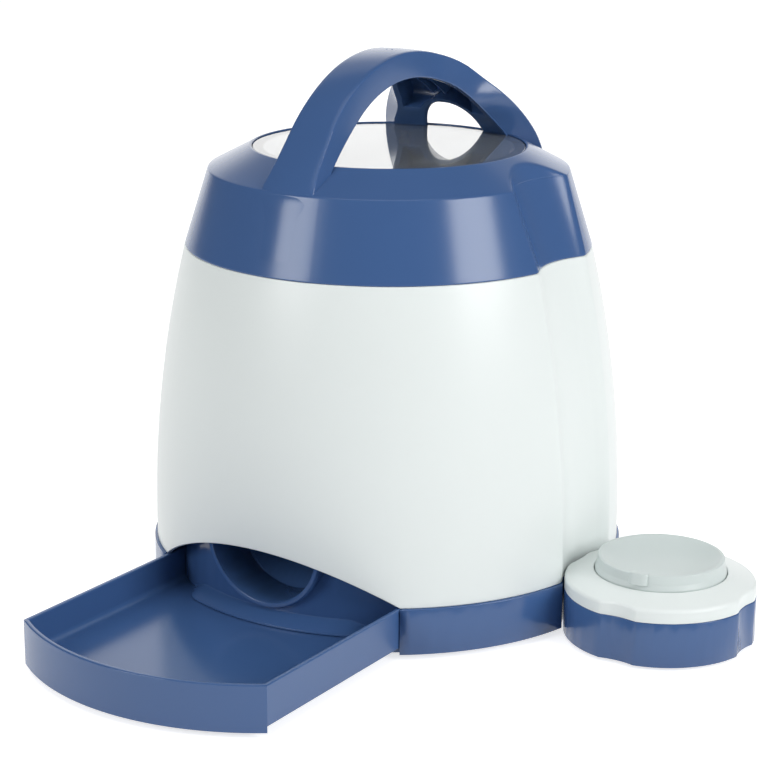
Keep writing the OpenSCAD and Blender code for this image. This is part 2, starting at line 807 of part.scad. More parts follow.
module motor() color(steel) placed() on_axle(motor_x, mesh_y) difference() {
  union() {
    cylinder(r = motor_r, h = motor_l);
    translate([0, 0, -bracket_t]) cylinder(r = motor_boss_r, h = bracket_t + past);
    translate([0, 0, motor_l - past]) cylinder(r = motor_boss_r, h = motor_tail + past);
  }
  translate([0, 0, -bracket_t - past]) cylinder(r = pin_r + rub, h = bracket_t + pin_in + past);
  translate([0, 0, -past]) at_motor_screws() cylinder(r = motor_screw_bore, h = 5 * past);
}

module motor_bracket() color(steel) placed() difference() {
  translate([bracket_x, bracket_front, z_deck_top]) {
    cube([bracket_t, bracket_back - bracket_front, bracket_top - z_deck_top]);
    cube([bracket_foot, bracket_back - bracket_front, bracket_t]);
  }
  on_axle(bracket_x - past, mesh_y) {
    cylinder(r = motor_boss_r + rub, h = bracket_t + 2 * past);
    at_motor_screws() cylinder(r = motor_screw_bore, h = bracket_t + 2 * past);
  }
  translate([0, 0, z_deck_top - past]) at_bracket_screws()
    cylinder(r = screw_r + rub, h = bracket_t + 2 * past);
}

module works_screws() color(steel) placed() {
  translate([0, 0, z_deck]) at_housing_screws() screw(deck_t + housing_bite, head_h = cover_head_h);
  translate([0, 0, z_deck_top + bracket_t]) at_bracket_screws() rotate([180, 0, 0])
    screw(bracket_t + deck_t);
  on_axle(bracket_x, mesh_y) at_motor_screws()
    screw(bracket_t + 3 * past, r = cover_screw_r, head_r = cover_head_r, head_h = cover_head_h);
}

module control_board() color(green) placed()
  translate([board_at[0], board_at[1], z_deck_top + standoff_h]) cube(board);

// Puts a part on the board, at a place from the board's corner
module on_board(x, y) translate([board_at[0] + x, board_at[1] + y, z_chips]) children();

module board_chips() color(dark) placed() {
  on_board(12, 18) cube([10, 10, 1.6]);
  on_board(24, 6) cube([8, 5, 1.5]);
  on_board(5, 34) cube([14, 9, 2.4]);
  on_board(8, 4) cube([12, 5, 6]);
  for (x = [24, 30]) on_board(x, 24) cylinder(r = 2.4, h = 7);
}

module buzzer() color(dark) placed() on_board(27, 38) difference() {
  cylinder(r = 6, h = 7.5);
  translate([0, 0, 6.5]) cylinder(r = 1, h = 2);
}

module lid_shell() color(blue) placed() difference() {
  lid_solid(0);
  difference() {
    rotate_extrude() polygon(concat(
      [[0, z_joint - past], [lid_foot_r - lid_wall, z_joint - past]],
      lid_outline(lid_wall),
      [[window_r - seat_w, z_window - window_t - seat_t], [0, z_window - window_t - seat_t]]
    ));
    lid_flutes(lid_wall);
    at_handle_screws() translate([0, 0, z_handle_screw]) cylinder(r = handle_boss_r, h = handle_h);
  }
  translate([0, 0, z_window - window_t]) cylinder(r = window_r + window_gap, h = window_t + past);
  translate([0, 0, z_joint]) cylinder(r = window_r - seat_w, h = z_window);
  at_handle_screws() translate([0, 0, z_joint]) cylinder(r = lid_bore, h = z_window);
}

module window() color(clear) placed() translate([0, 0, z_window - window_t])
  cylinder(r = window_r, h = window_t);

module at_handle_screws() for (a = [-90, handle_screw_angle, 180 - handle_screw_angle])
  translate(handle_screw_ring * [cos(a), sin(a)]) children();

// Plan of the handle: one front leg that forks into two rear legs, drawn in by inset
module handle_plan(inset) {
  half = handle_half - inset;
  rear_half = handle_rear_w / 2 - inset;
  gap_half = handle_gap_w / 2 + inset;
  crotch = crotch_r + inset;
  difference() {
    translate([-rear_half, -handle_r]) square([2 * rear_half, 2 * handle_r]);
    both_sides() {
      translate([half + spread_r, spread_y]) circle(r = spread_r);
      translate([half + flare_r, flare_y]) circle(r = flare_r);
      translate([half, flare_y]) square([handle_r, spread_y - flare_y]);
    }
    translate([0, crotch_y]) circle(r = crotch);
    polygon([
      [-crotch, crotch_y], [crotch, crotch_y], [gap_half, crotch_y + crotch_out],
      [gap_half, 2 * handle_r], [-gap_half, 2 * handle_r], [-gap_half, crotch_y + crotch_out]
    ]);
  }
}

// The arch of the handle, seen from the side
module handle_arch(r_in, r_out) translate([0, 0, z_arch]) rotate([90, 0, 90])
  translate([0, 0, -handle_rear_w]) linear_extrude(2 * handle_rear_w) difference() {
    circle(r = r_out);
    circle(r = r_in);
    translate([-2 * r_out, -2 * r_out]) square([4 * r_out, 2 * r_out]);
  }

module handle() color(blue) placed() difference() {
  intersection() {
    handle_arch(handle_in, handle_r);
    translate([0, 0, z_arch]) linear_extrude(2 * handle_r) handle_plan(0);
    cylinder(r = slope_foot[0] - handle_set_in, h = z_arch + 2 * handle_r);
  }
  difference() {
    intersection() {
      handle_arch(handle_in - past, handle_r - handle_wall);
      translate([0, 0, z_window + hollow_rise]) linear_extrude(2 * handle_r) handle_plan(handle_wall);
    }
    for (s = [-1, 1]) translate([s * rib_x - rib_t / 2, -handle_r, z_arch])
      cube([rib_t, handle_r + crotch_y, 2 * handle_r]);
  }
  lid_solid(0);
  translate([0, 0, z_joint]) cylinder(r = window_r + window_edge + past, h = z_window - z_joint);
  at_handle_screws() translate([0, 0, z_joint]) cylinder(r = handle_bore, h = z_window + 3 * past - z_joint);
}

module handle_screws() color(steel) placed() at_handle_screws() translate([0, 0, z_handle_screw])
  screw(12, r = handle_bore - rub, head_r = 2.6, head_h = 1.8);

// Outline of the remote with its four scallops, drawn in by inset
module remote_plan(inset) difference() {
  circle(r = remote_r - inset);
  for (a = [0:90:270]) rotate(a) translate([scallop_off, 0]) circle(r = scallop_r + inset);
}

module at_remote_posts() for (a = [45:90:315]) rotate(a) translate([remote_post, 0, 0]) children();

module remote_base() color(blue) docked() difference() {
  union() {
    translate([0, 0, z_remote]) linear_extrude(remote_h) difference() {
      remote_plan(0);
      remote_plan(remote_wall);
    }
    translate([0, 0, z_remote]) linear_extrude(remote_wall) remote_plan(remote_wall / 2);
    translate([-pocket_w / 2 - pocket_wall, -pocket_l / 2 - pocket_wall, z_remote])
      cube([pocket_w + 2 * pocket_wall, pocket_l + 2 * pocket_wall, z_remote_board - z_remote]);
    at_remote_posts() translate([0, 0, z_remote]) cylinder(r = remote_post_r, h = remote_h);
  }
  translate([-pocket_w / 2, -pocket_l / 2, z_remote - past])
    cube([pocket_w, pocket_l, z_pocket - z_remote + past]);
  at_remote_posts() translate([0, 0, z_remote - past]) {
    cylinder(r = remote_screw_r + 3 * rub, h = remote_h + 2 * past);
    cylinder(r = remote_head_r + 4 * rub, h = remote_sink + past);
  }
}

module remote_top() color(white) docked() {
  hollow_r = remote_r - scallop_depth - remote_wall;
  difference() {
    union() {
      intersection() {
        translate([0, 0, z_split]) linear_extrude(ring_edge_h + ring_rise) remote_plan(ring_in);
        rotate_extrude() difference() {
          polygon([
            [0, z_split], [remote_r, z_split], [remote_r, z_split + ring_edge_h],
            [ring_bore + ring_land, z_ring], [0, z_ring]
          ]);
          polygon([
            [0, z_split - past], [hollow_r, z_split - past],
            [hollow_r, z_split + ring_edge_h - remote_wall],
            [ring_bore + ring_land, z_ring - remote_wall], [0, z_ring - remote_wall]
          ]);
        }
      }
      intersection() {
        at_remote_posts() translate([0, 0, z_split]) cylinder(r = remote_post_r, h = ring_edge_h);
        translate([0, 0, z_split]) cylinder(r = remote_r - past, h = ring_edge_h - past / 2);
      }
    }
    translate([0, 0, z_split - past]) cylinder(r = ring_bore, h = z_ring);
    at_remote_posts() translate([0, 0, z_split - past])
      cylinder(r = remote_screw_r + rub, h = remote_bite + 1.6 * past);
  }
}

// Dished cup that is pressed: a flange under the ring holds it in, a round rib stops it on the board
module press_cup() color(frosted) docked() rotate_extrude() {
  inner = cup_r - cup_wall;
  outer = cup_r + cup_flare;
  z_under = z_dish - cup_wall;
  z_stop = z_dome + cup_travel + slip;
  polygon([
    [0, z_under], [stop_r, z_under], [stop_r, z_stop], [stop_r + stop_t, z_stop],
    [stop_r + stop_t, z_under], [inner - dish_w, z_under], [inner, z_cup - cup_wall - dish_round],
    [inner, z_flange], [ring_bore + flange_w, z_flange], [ring_bore + flange_w, z_flange + flange_t],
    [outer, z_flange + flange_t], [outer, z_ring + cup_lip], [cup_r, z_cup], [inner, z_cup],
    [inner - dish_w, z_dish], [0, z_dish]
  ]);
}

// Rubber dome that brings the cup back up
module return_dome() color(grey) docked() translate([0, 0, z_dome]) rotate_extrude() {
  dome_h = z_dish - cup_wall - rub - z_dome;
  polygon([
    [dome_r - dome_wall, 0], [dome_r, 0], [dome_r, dome_skirt], [dome_top_r, dome_h - dome_wall],
    [dome_top_r, dome_h], [0, dome_h], [0, dome_h - pcb_t], [dome_r / 3, dome_h - pcb_t],
    [dome_r - dome_wall, dome_skirt]
  ]);
}

module remote_board() color(green) docked() translate([0, 0, z_remote_board]) cylinder(r = pcb_r, h = pcb_t);

module remote_cells() color(steel) docked() for (s = [-1, 1])
  translate([s * aaa_pitch / 2, 0, z_aaa]) rotate([s * 90, 0, 0]) translate([0, 0, -aaa_l / 2])
    dry_cell(aaa_r, aaa_l, aaa_nub_r, aaa_nub_h);

module remote_contacts() color(brass) docked() for (end = [-1, 1])
  translate([0, 0, z_aaa]) {
    translate([-pocket_w / 2 + past, end * (pocket_l - leaf_t) / 2 - leaf_t / 2, -aaa_leaf_h / 2])
      cube([pocket_w - 2 * past, leaf_t, aaa_leaf_h]);
    translate([end * aaa_pitch / 2, end * (pocket_l / 2 - leaf_t + lap), 0]) rotate([end * 90, 0, 0])
      contact_cone(aaa_r, (pocket_l - aaa_l) / 2 - leaf_t);
  }

module remote_door() color(blue) docked() translate([0, 0, z_remote]) difference() {
  translate([-pocket_w / 2 + slip, -pocket_l / 2 + slip, 0])
    cube([pocket_w - 2 * slip, pocket_l - 2 * slip, remote_wall]);
  translate([0, pocket_l / 2 - 2 * aaa_r, 0]) door_grooves(3, 2 * aaa_r, 2, 0.6);
}

module remote_feet() color(dark) docked() for (a = [0:90:270]) rotate(a)
  translate([remote_post - remote_foot_in, 0, 0]) cylinder(r = remote_foot_r, h = remote_foot_h);

module remote_screws() color(steel) docked() at_remote_posts() translate([0, 0, z_remote + remote_sink])
  screw(remote_h - remote_sink + remote_bite, remote_screw_r, remote_head_r, remote_head_h);

base_tub();
base_feet();
battery_door();
battery_cells();
battery_contacts();
switch_body();
switch_knob();
chassis();
body_shell();
case_screws();
tray();
hopper();
wheel_housing();
housing_cover();
cover_screws();
dispensing_wheel();
wheel_shaft();
driven_gear();
drive_pinion();
motor_shaft();
motor();
motor_bracket();
works_screws();
control_board();
board_chips();
buzzer();
lid_shell();
window();
handle();
handle_screws();
remote_base();
remote_top();
press_cup();
return_dome();
remote_board();
remote_cells();
remote_contacts();
remote_door();
remote_feet();
remote_screws();
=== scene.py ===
"""Looks of a treat feeder for dogs and its remote press button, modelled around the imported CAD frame."""
import json
import math

import bmesh
import bpy
from bpy.props import FloatProperty, FloatVectorProperty, PointerProperty
from mathutils import Matrix, Vector


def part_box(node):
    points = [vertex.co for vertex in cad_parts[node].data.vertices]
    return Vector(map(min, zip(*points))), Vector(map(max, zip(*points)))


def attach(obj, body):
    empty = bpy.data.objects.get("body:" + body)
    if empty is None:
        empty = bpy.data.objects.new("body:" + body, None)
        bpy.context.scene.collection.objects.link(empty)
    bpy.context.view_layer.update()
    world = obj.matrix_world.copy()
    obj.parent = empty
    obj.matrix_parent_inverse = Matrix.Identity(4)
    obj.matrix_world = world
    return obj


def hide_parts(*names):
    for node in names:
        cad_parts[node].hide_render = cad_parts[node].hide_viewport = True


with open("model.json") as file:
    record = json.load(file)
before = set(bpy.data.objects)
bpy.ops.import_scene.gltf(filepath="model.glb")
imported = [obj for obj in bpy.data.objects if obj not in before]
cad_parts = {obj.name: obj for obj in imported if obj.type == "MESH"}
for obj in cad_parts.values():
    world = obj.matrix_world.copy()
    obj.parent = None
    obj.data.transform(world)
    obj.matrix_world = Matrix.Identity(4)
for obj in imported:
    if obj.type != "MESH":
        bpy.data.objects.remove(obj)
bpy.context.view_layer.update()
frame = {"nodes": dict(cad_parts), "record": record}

bl_info = {
    "name": "Treat Feeder Looks",
    "version": (1, 0, 0),
    "blender": (4, 5, 0),
    "location": "3D View > Sidebar > Feeder",
    "description": "Models and finishes a treat feeder and its press button around their CAD frame",
    "category": "Object",
}

MM = 0.001
WELD = 0.00001


# Places and sizes that the frame gives

def upright_axis(node):
    """The middle of a round node, on the floor."""
    low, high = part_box(node)
    return Vector(((low.x + high.x) / 2, (low.y + high.y) / 2, 0))


def reach(node, axis):
    """How far a node reaches from an upright axis."""
    points = frame["nodes"][node].data.vertices
    return max(math.hypot(p.co.x - axis.x, p.co.y - axis.y) for p in points)


FEEDER = upright_axis("window")
REMOTE = upright_axis("press_cup")
BASE_R = reach("base_tub", FEEDER)
SHELL_R = reach("body_shell", FEEDER)
LID_R = reach("lid_shell", FEEDER)
WINDOW_R = reach("window", FEEDER)
REMOTE_R = reach("remote_base", REMOTE)
DOCK_X = REMOTE.x - FEEDER.x
Z_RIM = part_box("body_shell")[0].z
Z_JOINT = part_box("lid_shell")[0].z
Z_SEAT, Z_WINDOW = (corner.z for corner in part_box("window"))
Z_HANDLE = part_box("handle")[1].z
SLOTS = {row["node"]: row["material_slot"] for row in frame["record"]["subparts"]}


# Sizes and colours that a user may change

def size(name, description, millimetres):
    return FloatProperty(name=name, description=description, default=millimetres * MM,
                         min=0, unit="LENGTH", subtype="DISTANCE", precision=4)


def turn(name, description, degrees):
    return FloatProperty(name=name, description=description, default=math.radians(degrees),
                         unit="ROTATION", subtype="ANGLE")


def colour(name, description, value):
    return FloatVectorProperty(name=name, description=description, default=value,
                               size=3, min=0, max=1, subtype="COLOR")


def strength(name, description, value, unit="NONE"):
    return FloatProperty(name=name, description=description, default=value, min=0, unit=unit)


class FeederSizes(bpy.types.PropertyGroup):
    """Sizes of the drum and its lid"""
    bow_rise: size("Bow rise", "Height above the base where the drum is widest", 10)
    flute_depth: size("Flute depth", "Depth of the two flutes down the sides", 7)
    flute_gap: size("Flute gap", "Clearance between the docked remote and the flute", 0.6)
    flute_lean: turn("Flute lean", "Lean of the flutes in the lid", 22)
    flute_blend: size("Flute blend", "Width of the rounding along the flutes' edges", 1.6)
    arch_w: size("Arch width", "Width of the front opening at its foot", 114)
    arch_h: size("Arch height", "Height of the front opening", 18.5)
    shell_wall: size("Shell wall", "Wall of the white drum", 2)
    shell_flange: size("Shell flange", "Width of the drum's inward top edge", 5)
    lid_wall: size("Lid wall", "Wall of the lid", 2.2)
    lid_lean: turn("Lid lean", "Lean of the lid's side wall", 17.5)
    lid_wall_h: size("Lid wall height", "Height of the lid's side wall", 31.2)
    lid_edge: size("Lid edge", "Rounding of the edge between side wall and slope", 1.2)
    window_rim: size("Window rim", "Width of the lid's edge around the window", 1.2)
    edge: size("Edge", "Rounding of the mouldings' edges", 0.5)


class HandleSizes(bpy.types.PropertyGroup):
    """Sizes of the carrying handle"""
    arch_r: size("Arch radius", "Radius of the handle's outer curve", 74)
    thickness: size("Thickness", "Distance between the outer and the inner curve", 10.7)
    flare_z: size("Flare height", "Height at which the front leg starts to flare out", 192)
    proud: size("Proud", "How far the front leg's face stands out from the lid's shoulder", 0.12)
    edge: size("Edge", "Rounding of the handle's long edges", 0.8)
    crown: size("Crown", "Swell of the outer face", 0.35)
    skin: size("Skin", "Thickness left above the hollow underside", 2.6)
    rim: size("Rim", "Width of the rim around the hollow", 2.6)
    gap_half: size("Gap half", "Half the width of the gap between the rear legs", 14.5)
    gap_splay: size("Gap splay", "How much wider the gap is on the outer side, at each leg", 13)
    gap_top: turn("Gap top", "Angle from the top at which the rear legs part", 41)
    gap_foot: turn("Gap foot", "Angle from the top at which the gap is widest", 62)
    sunk: size("Sunk", "Depth to which the legs reach into the lid", 1.2)


class TraySizes(bpy.types.PropertyGroup):
    """Sizes of the tray"""
    wall: size("Wall", "Thickness of the tray's walls", 2)
    depth: size("Depth", "Depth of the bed below the rim", 13.3)
    bed: size("Bed", "Thickness of the bed", 2)
    skirt: size("Skirt", "How far the front reaches below the sides", 2.5)
    fillet: size("Fillet", "Rounding between walls and bed", 2.4)
    edge: size("Edge", "Rounding of the rim", 0.6)
    collar_wall: size("Collar wall", "Wall of the round outlet behind the tray", 2)
    collar_r: size("Collar radius", "Inner radius of the round outlet", 25)
    collar_sill: size("Collar sill", "Height of the round outlet above the bed", 5.9)
    collar_bead: size("Collar bead", "How far the rounded lip stands out from the outlet", 0.9)
    wall_r: size("Wall radius", "Radius of the wall behind the front opening", 88.5)
    apron_half: size("Apron half", "Half the width of the apron below the outlet", 46)
    apron_out: size("Apron reach", "How far the apron reaches out from the wall", 6.6)
    apron_gap: size("Apron gap", "Height of the apron above the bed", 0.3)


class RemoteSizes(bpy.types.PropertyGroup):
    """Sizes of the remote"""
    scallop_r: size("Scallop radius", "Radius of the four scallops", 25)
    scallop_depth: size("Scallop depth", "Depth of the four scallops", 1.8)
    ring_in: size("Ring inset", "How far the top ring stands in from the lower half", 0.1)
    ring_edge_h: size("Ring edge", "Height of the top ring's upright edge", 5.3)
    ring_rise: size("Ring rise", "Rise of the top ring towards the cup", 3.2)
    ring_round: size("Ring round", "Rounding of the top ring's edge", 1.8)
    wall: size("Wall", "Wall of the remote", 2)
    cup_r: size("Cup radius", "Radius of the cup at its top", 25)
    cup_flare: size("Cup flare", "How much wider the cup is at its foot", 1)
    cup_gap: size("Cup gap", "Clearance between cup and ring", 0.3)
    cup_rise: size("Cup rise", "Height of the cup above the ring", 6)
    dish_depth: size("Dish depth", "Depth of the dish", 5)
    flange_w: size("Flange width", "Width of the flange that holds the cup under the ring", 1.6)
    tab_w: size("Tab width", "Width of the tab over the cup's rim", 7.5)
    tab_turn: turn("Tab turn", "Direction of the tab over the cup's rim", 276)


class FinishColours(bpy.types.PropertyGroup):
    """Colours of the finishes"""
    blue: colour("Blue", "Moulded blue plastic", (0.048, 0.109, 0.270))
    white: colour("White", "Moulded off-white plastic", (0.78, 0.83, 0.82))
    inner: colour("Inner", "Plastic of the works", (0.60, 0.62, 0.62))
    frosted: colour("Frosted", "Frosted press cup", (0.64, 0.71, 0.70))
    window: colour("Window", "Clear window", (0.90, 0.93, 0.93))
    rubber: colour("Rubber", "Feet", (0.03, 0.035, 0.045))
    dome: colour("Dome", "Silicone dome", (0.45, 0.46, 0.47))
    steel: colour("Steel", "Screws, shafts and motor", (0.60, 0.61, 0.62))
    brass: colour("Brass", "Contacts and pinion", (0.70, 0.55, 0.25))
    cells: colour("Cells", "Sleeves of the dry cells", (0.20, 0.21, 0.23))
    board: colour("Board", "Circuit boards", (0.03, 0.16, 0.08))
    black: colour("Black", "Chips, buzzer and switch", (0.02, 0.02, 0.022))


class StageSizes(bpy.types.PropertyGroup):
    """Where the camera stands and how the stage is lit"""
    camera_away: size("Camera distance", "Distance from the drum's axis to the camera", 910.3)
    camera_h: size("Camera height", "Height of the camera above the floor", 341.7)
    camera_turn: turn("Camera turn", "Turn of the camera from straight ahead towards the remote", 32.8)
    camera_pan: turn("Camera pan", "Turn of the camera's view away from the drum's axis", 0.057)
    camera_tilt: turn("Camera tilt", "Downward tilt of the camera", 15.986)
    camera_roll: turn("Camera roll", "Roll of the camera", 0.286)
    lens: FloatProperty(name="Lens", description="Focal length in millimetres", default=104.07, unit="CAMERA")
    sky: strength("Sky", "Strength of the even light around the object", 0.42)
    key: strength("Key", "Power of the lamp on the right", 8.5, "POWER")
    fill: strength("Fill", "Power of the lamp on the left", 5, "POWER")
    top: strength("Top", "Power of the lamp above", 3.5, "POWER")
    back: strength("Back", "Power of the lamp behind", 5.5, "POWER")
    shine: strength("Shine", "Strength of what gloss shows beside the backdrop", 0.12)
    floor: strength("Floor", "How pale the floor is", 0.75)
    glow: strength("Glow", "How far the floor is lifted towards the backdrop", 0.7)


# Mesh building

def mix(a, b, t):
    return a + (b - a) * t


def smooth_min(a, b, blend):
    """The smaller of two lengths, rounded over where they are nearly equal."""
    near = max(blend - abs(a - b), 0) / blend
    return min(a, b) - near * near * blend / 4


def arc_points(before, corner, after, radius, steps=4):
    """Points of the round at a corner of an outline."""
    to_before, to_after = (before - corner).normalized(), (after - corner).normalized()
    half = to_before.angle(to_after) / 2
    if radius <= 0 or half > math.radians(89):
        return [corner]
    cut = radius / math.tan(half)
    start, end = corner + to_before * cut, corner + to_after * cut
    middle = corner + (to_before + to_after).normalized() * radius / math.sin(half)
    sweep = (start - middle).angle_signed(end - middle)
    points = []
    for i in range(steps + 1):
        arm = (start - middle).copy()
        arm.rotate(Matrix.Rotation(-sweep * i / steps, 2))
        points.append(middle + arm)
    return points


def rounded(corners, closed=True):
    """An outline of (across, up, radius) corners with its corners rounded, as 2D points."""
    flat = [Vector(c[:2]) for c in corners]
    points = []
    for i, corner in enumerate(corners):
        if not closed and i in (0, len(corners) - 1):
            points.append(flat[i])
        else:
            points += arc_points(flat[i - 1], flat[i], flat[(i + 1) % len(flat)], corner[2])
    return points


def add_grid(bm, rows, closed=False, wrap=False, ends=False):
    """Joins rows of points with faces.

    closed joins the ends of each row, wrap the last row to the first, ends fills the first and last row.
    """
    grid = [[bm.verts.new(p) for p in row] for row in rows]
    pairs = list(zip(grid, grid[1:])) + ([(grid[-1], grid[0])] if wrap else [])
    for low, high in pairs:
        steps = range(len(low) if closed else len(low) - 1)
        for i in steps:
            j = (i + 1) % len(low)
            bm.faces.new((low[i], low[j], high[j], high[i]))
    for row in (grid[0], grid[-1]) if ends else ():
        bm.faces.new(row)


def turned(axis, point, angle):
    """A point of an outline, as radius and height, turned round an upright axis."""
    return axis + Vector((point.x * math.cos(angle), point.x * math.sin(angle), point.y))


def soft_edges(piece, width, angle):
    """Rounds the sharp edges of a piece, without changing its mesh."""
    soft = piece.modifiers.new("soft_edges", "BEVEL")
    soft.width = width
    soft.segments = 2
    soft.limit_method = "ANGLE"
    soft.angle_limit = math.radians(angle)
    soft.harden_normals = True


def new_piece(name, bm, body, slot, stands_for=(), sharp=40, bevel=0.0):
    """Makes a finished piece of a mesh: welded, smooth, with its slot's material and its body."""
    bmesh.ops.remove_doubles(bm, verts=bm.verts, dist=WELD)
    bmesh.ops.dissolve_degenerate(bm, edges=bm.edges, dist=WELD / 10)
    bmesh.ops.recalc_face_normals(bm, faces=bm.faces)
    mesh = bpy.data.meshes.new(name)
    bm.to_mesh(mesh)
    bm.free()
    mesh.shade_smooth()
    mesh.set_sharp_from_angle(angle=math.radians(sharp))
    piece = bpy.data.objects.new(name, mesh)
    bpy.context.scene.collection.objects.link(piece)
    mesh.materials.append(finish(slot))
    if bevel:
        soft_edges(piece, bevel, 50)
    even = piece.modifiers.new("even_shading", "WEIGHTED_NORMAL")
    even.keep_sharp = True
    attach(piece, body)
    if stands_for:
        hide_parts(*stands_for)
    return piece


def ring_angles(step=2.0, fine=0.5, bands=()):
    """Angles all round, in radians, finer within the given bands of degrees."""
    angles = {round(step * i, 3) for i in range(int(360 / step))}
    for low, high in bands:
        angles |= {round((low + fine * i) % 360, 3) for i in range(int((high - low) / fine) + 1)}
    return [math.radians(a) for a in sorted(angles)]


# Degrees between which the flutes' edges lie, and the cosine of the angle beyond which there is no flute
FLUTE_BANDS = ((-20, -8), (8, 20), (160, 172), (188, 200))
FLUTE_SPREAD = 0.8


# Shape of the drum

class Drum:
    """The drum's bow and its flutes, in the feeder's own axes."""

    def __init__(self, sizes):
        self.sizes = sizes
        self.flute_r = REMOTE_R + sizes.flute_gap
        self.widest = Z_RIM + sizes.bow_rise
        rise, draw = Z_JOINT - self.widest, SHELL_R - LID_R
        self.bow_r = (rise * rise + draw * draw) / (2 * draw)
        self.bow_x = SHELL_R - self.bow_r
        self.lid_flute = self.flute_x(0, Z_JOINT, 0)

    def bow(self, z):
        return self.bow_x + math.sqrt(self.bow_r ** 2 - (z - self.widest) ** 2)

    def flute_x(self, side, z, grow):
        """How far out the flute's wall lies, at a distance to the side and a height."""
        width = self.flute_r + grow
        hollow = math.sqrt(width * width - side * side)
        if z <= Z_RIM:
            return DOCK_X - hollow
        if z <= Z_JOINT:
            ring = self.bow_r - self.sizes.flute_depth + self.flute_r - hollow
            return self.bow_x + math.sqrt(ring * ring - (z - self.widest) ** 2)
        lean = self.sizes.flute_lean
        middle = self.lid_flute + self.flute_r / math.cos(lean) - (z - Z_JOINT) * math.tan(lean)
        return middle - hollow / math.cos(lean)

    def radius(self, angle, z, round_r, grow=0.0):
        """Radius of the drum in a direction, where it would be round_r without its flutes."""
        across, along = math.sin(angle), abs(math.cos(angle))
        if along < FLUTE_SPREAD:
            return round_r
        out = round_r
        for _ in range(8):
            side = out * across
            if abs(side) >= self.flute_r + grow:
                return round_r
            out = self.flute_x(side, z, grow) / along
        return smooth_min(round_r, out, self.sizes.flute_blend)

    def point(self, angle, z, round_r, grow=0.0):
        out = self.radius(angle, z, round_r, grow)
        return FEEDER + Vector((out * math.cos(angle), out * math.sin(angle), z))


class FEEDER_OT_body_shell(bpy.types.Operator):
    """Models the white drum with its flutes and arched front opening"""
    bl_idname = "feeder.body_shell"
    bl_label = "Body Shell"

    def execute(self, context):
        sizes = context.scene.feeder_sizes
        drum = Drum(sizes)
        arch_r = (sizes.arch_w ** 2 / 4 + sizes.arch_h ** 2) / (2 * sizes.arch_h)
        arch_z = Z_RIM + sizes.arch_h - arch_r
        corner = math.degrees(math.acos(sizes.arch_w / 2 / drum.bow(Z_RIM)))
        front = ((270 - 90 + corner, 270 - 90 + corner), (360 - corner, 360 - corner))
        angles = ring_angles(bands=FLUTE_BANDS + front)
        foot = {}
        for a in angles:
            side = abs(drum.bow(Z_RIM) * math.cos(a))
            arched = math.sin(a) < 0 and side < sizes.arch_w / 2
            foot[a] = arch_z + math.sqrt(arch_r ** 2 - side ** 2) if arched else Z_RIM
        wall, edge, flange = sizes.shell_wall, sizes.edge, sizes.shell_flange
        height = Z_JOINT - Z_RIM
        profile = rounded([
            (0, 0, edge), (0, height, edge), (flange, height, edge), (flange, height - wall, edge),
            (wall, height - wall, edge), (wall, 0, edge),
        ])
        levels = []
        for here, after in zip(profile, profile[1:] + profile[:1]):
            levels.append(here)
            if abs(after.y - here.y) > height / 2:
                levels += [mix(here, after, i / 24) for i in range(1, 24)]
        rows = []
        for inset, up in levels:
            row = []
            for a in angles:
                z = mix(foot[a], Z_JOINT, up / height)
                row.append(drum.point(a, z, drum.bow(z) - inset, inset))
            rows.append(row)
        bm = bmesh.new()
        add_grid(bm, rows, closed=True, wrap=True)
        new_piece("drum", bm, "feeder", SLOTS["body_shell"], ("body_shell",))
        return {"FINISHED"}


def lid_profile(sizes):
    """The lid's outer corners from its foot to the window, as radius and height."""
    foot = Vector((LID_R, Z_JOINT))
    edge = foot + Vector((-sizes.lid_wall_h * math.tan(sizes.lid_lean), sizes.lid_wall_h))
    rim = Vector((WINDOW_R + sizes.window_rim, Z_WINDOW))
    return foot, edge, rim


